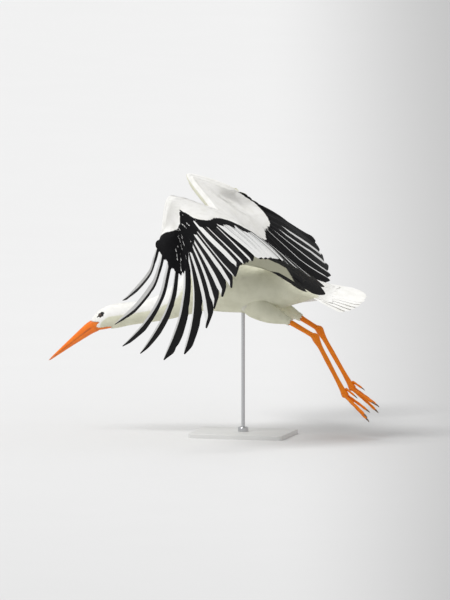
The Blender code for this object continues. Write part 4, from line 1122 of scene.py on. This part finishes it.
def clothe_wing(wing, face):
    """Coverts on one side of a wing: small and close at the leading edge, long and broad over the quills."""

    def total(i):
        return wing.at_bone(i) + wing.coverts_end(i, face)

    dense = np.linspace(-0.7, QUILLS - 0.7, 600)
    for group, template, rows in (("lesser", MEDIUM, COVERT_ROWS[:8]), ("greater", LARGE, COVERT_ROWS[8:])):
        roots, longs, wides = [], [], []
        for number, (at, long) in enumerate(rows):
            gap = np.interp(long, (0.016, 0.098), (0.0078, 0.0135))
            line = wing.read(wing.mid, dense, np.maximum(at * total(dense), 0.002))
            run = run_along(line)
            count = int(run[-1] / gap)
            spots = np.arange(count) + 0.5 * (number % 2) + random.normal(0, 0.07, count)
            i = np.interp(spots * gap, run, dense)
            length = long * np.clip(total(i) / total(14.0), 0.62, 1.9) ** 0.7
            tip = at * total(i) + random.normal(0, 0.02, count) * long
            roots.append(np.stack([i, tip - length, np.full(count, face)], 1))
            longs.append(length)
            wides.append(np.maximum(np.full(count, gap * 2.1), length * 0.34))
        roots = np.concatenate(roots)
        shift = random.normal(0, 0.0016, len(roots))[:, None]

        def mark(roots, back, sideways):
            i, d = wing.reached(roots, back, sideways)
            beyond = d - wing.at_bone(i) - wing.white_ends(i) + shift
            black = np.clip(0.5 + beyond / 0.04, 0.0, 1.0) if face > 0 else np.zeros(d.shape)
            # painted shade: on the near wing's innermost upper coverts, and lighter on every under covert
            scapular = (1 - ease(i, 3.6, 5.0)) * (wing.side == "left")
            stain = scapular if face > 0 else np.full(d.shape, 0.45)
            edged = (roots[:, 0] > 16.5) & (roots[:, 0] < 25) & (random.random(len(roots)) < 0.3)
            edged = edged & (face > 0) & (wing.side == "left")
            return dict(dark=black, stain=stain, edged=edged.astype(float))

        name = f"coverts_{group}_{wing.side}_{'upper' if face > 0 else 'under'}"
        long, wide = np.concatenate(longs), np.concatenate(wides)
        clothe(name, wing, roots, template, long, wide, mark, 0.00035, 0.0004, 0.35)


# by quill number, how much of the whole vane is white (half is the leading web), and how far along it begins
STRIPES = {
    "left": {5: 0.08, 6: 0.12, 7: 0.15, 8: 0.5, 9: 0.9, 10: 0.9, 11: 0.9, 12: 0.9, 13: 0.5, 15: 0.5}
    | {i: 0.5 for i in range(17, 29)},
    "right": {23: 0.5, 24: 0.5, 25: 0.5, 26: 0.5},
}  # fmt: skip
STRIPE_FROM = {"left": 0.0, "right": 0.58}
# of the inner four: length of black at the end, and how much longer it is on the leading edge
BLACK_END = (-0.020, 0.004, 0.097, 0.150)
SLANT = np.array([0.0, 0.0, -0.037, 0.040] + [0.020] * (QUILLS - 4))[:, None]


def by_quill(table, other, share):
    """One row of values for each quill: the table's, or other where it has none."""
    rows = [table.get(i, (other,) * len(RUN_AT)) for i in range(QUILLS)]
    return np.array([np.interp(share, RUN_AT, values) for values in rows])


def fledge_wing(wing):
    """Tertials, secondaries and primaries one by one, each lying over the inner web of the next one out."""
    side = wing.side
    number = np.arange(QUILLS)
    share = 1 - (1 - np.linspace(0.0, 1.0, LONG_ROWS)) ** 1.25
    drift = by_quill(RUN[side], 0.0, share)
    ii = number[:, None] + drift
    bone, reach = wing.at_bone(ii) - 0.004, wing.reach(ii)
    d = bone + (reach - bone) * share
    spot, n = wing.read(wing.mid, ii, d), unit(wing.read(wing.normal, ii, d))
    along = unit(np.gradient(spot, axis=1))
    # the distance from one quill's place to the next, square to the shaft
    low = np.clip(ii - 0.5, 0, QUILLS - 2)
    places = [wing.at_bone(v) + (wing.reach(v) - wing.at_bone(v)) * share for v in (low, low + 1)]
    away = wing.read(wing.mid, low + 1, places[1]) - wing.read(wing.mid, low, places[0])
    gap = np.linalg.norm(away - along * (away * along).sum(2, keepdims=True), axis=2)
    outer = by_quill(LEADING[side], 0.62, share) * gap
    inner = np.clip(1.3 * gap, 0.010, 0.034)
    free = by_quill(TRAILING if side == "left" else {}, -1.0, share) * gap
    inner = np.where(free > 0, free, inner)
    growth = 0.25 + 0.75 * ease(share, 0.0, 0.16)
    pointed = (number >= POINTED_FROM[side])[:, None]
    round_from = np.where(number < 8, 0.84, 0.95 if side == "left" else 0.91)[:, None]
    blunt = np.sqrt(np.clip(1 - np.clip((share - round_from) / (1 - round_from), 0, 1) ** 2, 0.03, 1))
    tip = np.where(pointed, 1.0, blunt)
    outer, inner = outer * growth * tip, inner * growth * tip
    # a few places where the barbs have come apart
    for i in number:
        for row in random.choice(np.arange(10, LONG_ROWS - 5), 2, replace=False):
            inner[i, row] *= random.uniform(0.88, 0.95)
    out = unit(np.cross(along, n))
    toward = float(np.sign((out[:-1, 8] * (spot[1:, 8] - spot[:-1, 8])).sum()))
    n = unit(n - out * 0.10 * toward)  # leading edge up, inner web down, so that they lie like slates
    out = np.cross(along, n)
    spine = spot + n * 0.0006
    across, row, _ = LONG[0].T
    row = row.round().astype(int)
    web = np.where(across * toward > 0, outer[:, row], inner[:, row])
    drawn = np.interp(share, (0.0, 0.9, 1.0), (0.0, 0.0, 0.35))[row]
    mid = spine[:, row] + out[:, row] * (across * web)[..., None]
    mid = mid - n[:, row] * (0.10 * web * across**2)[..., None]
    mid = mid - along[:, row] * (across**2 * drawn * web)[..., None]
    left_of_tip = (reach - d)[:, row]
    black = np.concatenate([BLACK_END, np.ones(QUILLS - 4)])[:, None] - left_of_tip + SLANT * across * toward
    place = ii[:, row] + across * toward * web / gap[:, row]
    beyond = (d - bone)[:, row] - wing.white_ends(place) + 0.002
    black = np.minimum(black, np.where(number[:, None] < 4, 1.0, beyond))
    white = np.array([STRIPES[side].get(i, 0.0) for i in number])[:, None]
    stripe = white * ease(share[row], STRIPE_FROM[side] - 0.05, STRIPE_FROM[side] + 0.01)
    marks = dict(
        dark=np.clip(0.5 + black / 0.06, 0.0, 1.0),
        stripe=stripe,
        # painted shade on the near wing's four innermost quills
        stain=np.broadcast_to(((number < 4) & (side == "left"))[:, None].astype(float), mid.shape[:2]),
    )
    where = np.stack([(number + 0.5) / QUILLS, np.full(QUILLS, 0.5)], 1)
    flesh = [f"wing_{side}_{part}" for part in ("upper_arm", "forearm", "hand")]
    lay_vanes("flight_feathers_" + side, LONG, mid, n[:, row], 0.0005, where, FINISH["flight"],
              marks, toward, (0.9 / QUILLS, 0.98), flesh)  # fmt: skip
    thick = np.interp(share, (0.0, 0.25, 0.9, 1.0), (0.0020, 0.0013, 0.0005, 0.0002))
    bare = ease(d - bone - wing.coverts_end(ii), -0.020, 0.0)  # thin and sunk in under the coverts
    shafts = lay_shafts(spine - n * (0.0012 * (1 - bare))[..., None], n, thick * (0.3 + 0.7 * bare))
    piece("quills_" + side, shafts, FINISH["quill"])


# ---------------------------------------------------------------- tail
def make_tail():
    """Twelve broad white tail feathers in a rounded fan, the middle pair on top, rolled to the left."""
    along = unit((0.138, 0.0, -0.032))
    roll = math.radians(TAIL_ROLL)
    flat, lift = np.array([0.0, 1.0, 0.0]), np.array([-along[2], 0.0, along[0]])
    side, up = flat * math.cos(roll) + lift * math.sin(roll), lift * math.cos(roll) - flat * math.sin(roll)
    count = 12
    u = (np.arange(count) - (count - 1) / 2) / (count / 2)
    share = 1 - (1 - np.linspace(0.0, 1.0, LONG_ROWS)) ** 1.25
    reach = TAIL_LONG * (1.0 - TAIL_ROUND * np.abs(u) ** 2.2) + random.normal(0, 0.0012, count)
    d = -0.034 + (reach[:, None] + 0.034) * share
    turn = math.radians(TAIL_SPREAD) * u[:, None]
    fan = np.maximum(d, 0.0)
    across = u[:, None] * TAIL_ROOT * ease(d, -0.07, 0.005) + np.sin(turn) * fan
    fall = (0.010 * (1 - u[:, None] ** 2) - 0.012 * u[:, None] ** 2) * fan / 0.138
    stack = (0.5 - np.abs(u))[:, None] * 0.0036 * ease(d, -0.03, 0.05)
    spine = TAIL_START + side * across[..., None] + along * (np.cos(turn) * d)[..., None]
    spine = spine + up * (fall + stack)[..., None]
    lean = unit(up - side * (0.05 * u)[:, None])[:, None] * np.ones((1, LONG_ROWS, 1))
    half = 0.0145 * np.interp(share, (0.0, 0.12, 0.5, 0.85), (0.4, 0.6, 0.9, 1.0))
    half = half * np.sqrt(np.clip(1 - np.clip((share - 0.86) / 0.14, 0, 1) ** 2, 0.02, 1))
    vanes, row, _ = LONG[0].T
    row = row.round().astype(int)
    way = unit(np.gradient(spine, axis=1))
    out = unit(np.cross(way, lean))
    mid = spine[:, row] + out[:, row] * (vanes * half[row])[None, :, None]
    mid = mid - lean[:, row] * (0.05 * half[row] * vanes**2)[None, :, None]
    where = np.stack([(np.arange(count) + 0.5) / count, np.full(count, 0.5)], 1)
    marks = dict(dark=np.zeros(count), stain=np.zeros(count))
    lay_vanes("tail_feathers", LONG, mid, lean[:, row], 0.0005, where, FINISH["contour"],
              marks, 1.0, (0.9 / count, 0.98), ["tail"])  # fmt: skip
    thick = np.interp(share, (0.0, 0.3, 1.0), (0.0012, 0.0007, 0.0002))
    shafts = lay_shafts(spine, lean, np.broadcast_to(thick, d.shape))
    piece("tail_quills", shafts, FINISH["ivory"])


# ---------------------------------------------------------------- bill, eyes
def bill_frame():
    """The way the bill points, the way up from it, and its length."""
    along = unit(BILL_TIP - BILL_BASE)
    up = np.array([-along[2], 0.0, along[0]])
    return along, up if up[2] > 0 else -up, float(np.linalg.norm(BILL_TIP - BILL_BASE))


def make_bill():
    """Two halves: the upper with a rounded ridge and nostril slits, the lower shallower, closing under it."""
    along, up, length = bill_frame()
    u = np.concatenate([np.linspace(-0.05, 0.10, 7), np.linspace(0.13, 0.94, 26), np.linspace(0.955, 1.0, 6)])
    full = np.interp(u, BILL_ALONG, BILL_TAPER)
    for name, sign, deep in (("upper", 1.0, 0.55), ("lower", -1.0, 0.45)):
        rings = []
        for v, f in zip(u, full):
            end = length * (v if sign > 0 else min(v, 0.985))
            high, wide = BILL_DEEP * deep * f, BILL_WIDE / 2 * f
            gape = 0.0010 * math.sin(math.pi * min(max(v, 0), 1)) - 0.0030 * ease(0.12 - v, 0.0, 0.17)
            t = math.pi * np.arange(15) / 14
            rise = np.sin(t) ** 0.9 * high
            out = np.cos(t) * wide * (0.90 + 0.10 * np.sin(t))
            pinch = 0.00045 * np.exp(-(((np.sin(t) - 0.36) / 0.12) ** 2))
            pinch = pinch * ease(v, 0.03, 0.08) * (1 - ease(v, 0.35, 0.55))
            out = out - np.sign(out) * pinch * (1.0 if sign > 0 else 0.5) * 1.6
            base = BILL_BASE + along * end + up * gape
            ring = base + up * (sign * (0.00025 + rise))[:, None]
            rings.append(ring + np.array([0.0, 1.0, 0.0]) * out[:, None])
        bm = loft(rings)
        # painted shade along the line where the halves close and at the face
        layer = bm.verts.layers.float.new("edge")
        for v in bm.verts:
            rel = np.array(v.co) - BILL_BASE
            at_lips = float(ease(0.0022 - abs(float(rel @ up)), 0.0, 0.0022))
            at_face = float(ease(-float(rel @ along) / length + 0.02, 0, 0.05))
            v[layer] = at_lips * 0.7 + 0.25 * at_face
        piece(f"bill_{name}_horn", bm, FINISH["bill"], stands_for=[f"bill_{name}"])


# rings of a lid: degrees away from the pupil, and how far off the eyeball
LID_RINGS = (
    (42, 0.0001), (43, 0.0007), (49, 0.0011), (58, 0.0010), (68, 0.0004), (80, -0.0004), (92, -0.0012),
)  # fmt: skip


def make_eye(side):
    """The eyeball, a clear bulge between two thin black lids."""
    sign = -1.0 if side == "left" else 1.0
    centre = EYE * (1, sign, 1)
    bm = bmesh.new()
    bmesh.ops.create_uvsphere(bm, u_segments=40, v_segments=24, radius=EYE_R)
    sideways = Vector((0, 0, 1)).rotation_difference(Vector((0, sign, 0))).to_matrix()
    bmesh.ops.rotate(bm, verts=bm.verts, cent=(0, 0, 0), matrix=sideways)
    bmesh.ops.translate(bm, verts=bm.verts, vec=Vector(centre))
    piece("eyeball_" + side, bm, FINISH["eye_" + side], stands_for=["eye_" + side])
    # lids: a rim on the ball with an almond opening, spreading onto the face
    out = unit(np.array([-0.18, sign, 0.10]))
    ahead = unit(np.cross(out, (0.0, 0.0, 1.0))) * sign
    ahead = ahead if ahead[0] < 0 else -ahead
    tall = np.cross(ahead, out) * (1 if np.cross(ahead, out)[2] > 0 else -1)
    turn = 2 * math.pi * np.arange(36) / 36
    rings = []
    for angle, off in LID_RINGS:
        a = math.radians(angle)
        squeeze = 1.0 if angle > 60 else 0.90
        ring = []
        for t in turn:
            lean = np.cos(t) * ahead + np.sin(t) * tall * squeeze
            ring.append(centre + (out * math.cos(a) + lean * math.sin(a)) * (EYE_R + off))
        rings.append(ring)
    bm = loft(rings, caps=False)
    layer = bm.verts.layers.float.new("dark")
    for v in bm.verts:
        v[layer] = 1.0
    bmesh.ops.solidify(bm, geom=bm.faces[:], thickness=0.0003)
    piece("eyelids_" + side, bm, FINISH["skin"])


# ---------------------------------------------------------------- legs
# length, radius, place across the foot, its root's height, then degrees it lifts and spreads
TOES = {
    "toe_1": (0.028, 0.0040, 0.0, 0.0088, 7.0, 0.0),
    "toe_2": (0.080, 0.0051, -1.0, 0.0000, 9.0, -5.0),
    "toe_3": (0.099, 0.0055, 0.0, -0.0020, -1.0, 0.0),
    "toe_4": (0.088, 0.0051, 1.0, 0.0000, 4.0, 6.0),
}


def make_leg(side, leg):
    """Scaled shank, tarsus and toes with their claws, and short webs between the front toes."""
    s = leg["side"]
    thigh_end, ankle, foot = (leg_point(leg, k) for k in ("thigh_end", "ankle", "foot"))
    step = unit(ankle - thigh_end)
    stop = ankle - step * 0.0105
    knots = [thigh_end - step * 0.012, thigh_end, thigh_end * 0.6 + stop * 0.4]
    knots += [thigh_end * 0.2 + stop * 0.8, stop + step * 0.002]
    line = smooth_line(np.column_stack([knots, (0.0090, 0.0088, 0.0080, 0.0074, 0.0078)]), 26)
    bm = tube(line[:, :3], line[:, 3] * 0.9, line[:, 3], 20)
    piece(f"shank_skin_{side}", bm, FINISH["leg"], stands_for=[f"shank_{side}"])
    down, turn = unit(foot - ankle), unit(unit(foot - ankle) + step)
    aim = unit((leg["toes"][0] - leg["foot"][0], 0.0, leg["toes"][1] - leg["foot"][2]))
    lift = np.array([-aim[2], 0.0, aim[0]])
    lift = lift if lift[0] > 0 else -lift
    pad = foot + down * 0.006
    points = [stop, ankle - step * 0.004, ankle + turn * 0.002]
    points += [ankle + down * d for d in (0.010, 0.026, 0.085)]
    points += [foot - down * 0.030, foot - down * 0.010, foot, pad]
    radii = (0.0078, 0.0108, 0.0124, 0.0116, 0.0088, 0.0075, 0.0076, 0.0090, 0.0108, 0.0112)
    line = smooth_line(np.column_stack([points, radii]), 64)
    ball = np.radians([20, 40, 58, 74, 88])  # the sole, rounded over
    sole = points[-1] + down * 0.0080 * np.sin(ball)[:, None]
    line = np.concatenate([line, np.column_stack([sole, radii[-1] * np.cos(ball)])])
    share = np.arange(len(line)) / 64
    wide = line[:, 3] * np.interp(share, (0.0, 0.06, 0.2, 0.8, 1.0), (0.95, 1.05, 0.82, 0.85, 1.0))
    bm = tube(line[:, :3], wide, line[:, 3], 22)
    piece(f"tarsus_skin_{side}", bm, FINISH["leg"], stands_for=[f"tarsus_{side}"])
    bent = {}
    for toe, (length, radius, across, rise, tilt, yaw) in TOES.items():
        t, w = math.radians(tilt), math.radians(yaw)
        way = aim * math.cos(t) * math.cos(w) + lift * math.sin(t) + np.array([0.0, s * math.sin(w), 0.0])
        way = unit(way)
        origin = pad + np.array([0.0, s * across * 0.0113, 0.0]) + lift * rise + aim * 0.0011
        if toe == "toe_1":
            origin = foot + lift * 0.0150 + aim * 0.0010
        curl = unit(way + np.array([0.10, 0.0, -0.20]))
        end = origin + way * length * 0.66 + unit(way + curl) * length * 0.34
        knots = [origin - way * 0.010, origin, origin + way * length * 0.33]
        knots += [origin + way * length * 0.66, end]
        line = bent[toe] = smooth_line(knots, 48)
        share = np.linspace(0.0, 1.0, 48)
        body = np.interp(share, (0.0, 0.02, 0.05, 0.10, 0.9, 1.0), (0.3, 0.7, 0.92, 1.02, 0.82, 0.55))
        body = body * radius
        joints = 4 if length > 0.05 else 2
        knuckle = 0.5 - 0.5 * np.cos(2 * math.pi * joints * share)
        body = body * (0.90 + 0.13 * knuckle)
        bm = tube(line, body, body * 0.92, 16)
        piece(f"{toe}_skin_{side}", bm, FINISH["leg"], stands_for=[f"{toe}_{side}"])
        push = unit(way + curl)
        bend = unit(push + np.array([0.10, 0.0, -0.45]))
        knots = [end - push * 0.003, end + push * 0.003]
        knots += [end + push * 0.0070 + bend * 0.0008, end + push * 0.006 + bend * 0.0060]
        nail = smooth_line(knots, 14)
        thin = np.interp(np.linspace(0, 1, 14), (0.0, 0.3, 0.8, 1.0), (0.62, 0.60, 0.34, 0.10)) * radius
        bm, number = tube(nail, thin * 1.05, thin * 0.8, 12), toe[-1]
        piece(f"nail_{number}_{side}", bm, FINISH["claw"], stands_for=[f"claw_{number}_{side}"])
    # short webs between the front toes, hollow at their free edge
    over = np.linspace(0.0, 1.0, 9)
    reach = np.linspace(0.0, 1.0, 12)
    at = 4 + reach[:, None] * (25 - 9 * np.sin(math.pi * over))
    for one, two in ((2, 3), (3, 4)):
        ends = []
        for toe in (one, two):
            line = bent[f"toe_{toe}"]
            ends.append(np.stack([np.interp(at, np.arange(48), line[:, k]) for k in range(3)], -1))
        sheet = ends[0] * (1 - over)[None, :, None] + ends[1] * over[None, :, None]
        thick = lift * (0.0016 - 0.0009 * reach)[:, None, None]
        piece(f"web_{one}_{two}_{side}", slab(sheet + thick, sheet - thick), FINISH["leg"])


# ---------------------------------------------------------------- stand
# outlines of the turned pieces, as shares of radius and height
TURNED = {
    "stand_collar": ((1.0, 0.0), (1.0, 0.72), (0.94, 0.90), (0.80, 1.0), (0.36, 1.0), (0.36, 0.0)),
    "stand_rod": ((0.0, 0.0), (1.0, 0.0), (1.0, 1.0), (0.0, 1.0)),
}


def make_stand():
    """A lacquered plate with eased edges, a turned collar and a brushed rod up to the belly."""
    low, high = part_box("stand_base")
    bm = bmesh.new()
    bmesh.ops.create_cube(bm, size=1.0)
    bmesh.ops.scale(bm, verts=bm.verts, vec=high - low)
    bmesh.ops.translate(bm, verts=bm.verts, vec=(high + low) / 2)
    upright = [e for e in bm.edges if abs(e.verts[0].co.z - e.verts[1].co.z) > 0.001]
    bmesh.ops.bevel(bm, geom=upright, offset=0.012, segments=8, profile=0.5, affect="EDGES", material=-1)
    top = [e for e in bm.edges if min(v.co.z for v in e.verts) > high.z - 1e-6]
    bmesh.ops.bevel(bm, geom=top, offset=0.0020, segments=4, profile=0.5, affect="EDGES", material=-1)
    piece("stand_plate", bm, FINISH["plate"], home=None, stands_for=["stand_base"])
    for node, steps in TURNED.items():
        low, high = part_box(node)
        middle, radius, tall = (low + high) / 2, (high.x - low.x) / 2, high.z - low.z
        bm = bmesh.new()
        spots = [bm.verts.new((middle.x + r * radius, middle.y, low.z + h * tall)) for r, h in steps]
        edges = [bm.edges.new(pair) for pair in zip(spots, spots[1:])]
        if node == "stand_collar":
            edges.append(bm.edges.new((spots[-1], spots[0])))
        axis = dict(cent=(middle.x, middle.y, 0), axis=(0, 0, 1), angle=2 * math.pi)
        bmesh.ops.spin(bm, geom=spots + edges, steps=48, use_merge=True, **axis)
        bmesh.ops.remove_doubles(bm, verts=bm.verts, dist=1e-6)
        piece(node + "_turned", bm, FINISH["steel"], home=None, stands_for=[node])


# ---------------------------------------------------------------- studio
CAMERA_TURN, CAMERA_LIFT = math.radians(14), math.radians(6)  # behind the beam, and above


def make_studio():
    """A wide pale floor under a pale sky, and one broad soft key from ahead and above."""
    bm = bmesh.new()
    bmesh.ops.create_grid(bm, x_segments=1, y_segments=1, size=300.0)
    mesh = bpy.data.meshes.new("floor")
    bm.to_mesh(mesh)
    bm.free()
    floor = bpy.data.objects.new("floor", mesh)
    bpy.context.scene.collection.objects.link(floor)
    material, tree, shader, where = start("matt_paper")
    cloud = add(tree, "TexNoise", (where, 1 / (333.3 * MM), 2.0))
    paper = add(tree, "Mix", (cloud, "#e7e7e7", "#e5e5e5"), **COLOUR)
    # painted shade: it darkens to the right of the camera's line and towards the camera
    turned = add(tree, "Mapping", {"Vector": where, "Rotation": (0.0, 0.0, -CAMERA_TURN)})
    right, away, _ = add(tree, "SeparateXYZ", (turned,)).node.outputs
    right = add(tree, "MapRange", (right, 0.05, 0.95), **SMOOTH)
    front = add(tree, "MapRange", (away, -9.0, 3.0, 0.35, 0.0), **SMOOTH)
    shade = add(tree, "Math", (right, front), operation="ADD")
    shade = add(tree, "Math", (shade, 1.0), operation="MINIMUM")
    finished(tree, shader, add(tree, "Mix", (shade, paper, "#b9b9b9"), **COLOUR), 0.9)
    shader.inputs["Specular IOR Level"].default_value = 0.1
    mesh.materials.append(material)
    world = bpy.data.worlds.new("studio")
    world.use_nodes = True
    world.node_tree.nodes["Background"].inputs["Color"].default_value = (1.0, 1.0, 1.0, 1.0)
    world.node_tree.nodes["Background"].inputs["Strength"].default_value = 0.62
    bpy.context.scene.world = world
    sun = bpy.data.lights.new("key", "SUN")
    sun.energy, sun.angle = 1.9, math.radians(28)
    key = bpy.data.objects.new("key", sun)
    bpy.context.scene.collection.objects.link(key)
    key.rotation_mode = "QUATERNION"
    key.rotation_quaternion = Vector((0.42, 0.50, -1.0)).to_track_quat("-Z", "Y")
    bpy.context.scene.view_settings.view_transform = "Standard"


def make_camera():
    """A long lens from the bird's left, a little behind and above it."""
    tall = 1.86  # metres in the frame's height
    far = 60.0
    aside = tall / 40  # the bird's middle lies this far right of the frame's middle, and as far above it
    right = Vector((math.cos(CAMERA_TURN), math.sin(CAMERA_TURN), 0.0))
    level = Vector((math.sin(CAMERA_TURN), -math.cos(CAMERA_TURN), 0.0))
    back = level * math.cos(CAMERA_LIFT) + Vector((0.0, 0.0, math.sin(CAMERA_LIFT)))
    up = back.cross(right)
    data = bpy.data.cameras.new("camera")
    data.sensor_width = 36.0
    data.lens = data.sensor_width * far / tall
    data.clip_start, data.clip_end = 1.0, 400.0
    camera = bpy.data.objects.new("camera", data)
    bpy.context.scene.collection.objects.link(camera)
    camera.location = Vector(HOME) + back * far - (right + up) * aside
    camera.rotation_mode = "QUATERNION"
    camera.rotation_quaternion = back.to_track_quat("Z", "Y")
    bpy.context.scene.camera = camera


make_studio()
make_camera()
make_skin([arm_core(w) for w in WINGS.values()])
clothe_body()
for name, leg in LEGS.items():
    clothe_thigh(name, leg)
    make_leg(name, leg)
for wing in WINGS.values():
    fledge_wing(wing)
    for face in (1.0, -1.0):
        clothe_wing(wing, face)
make_tail()
make_bill()
for name in ("left", "right"):
    make_eye(name)
make_stand()
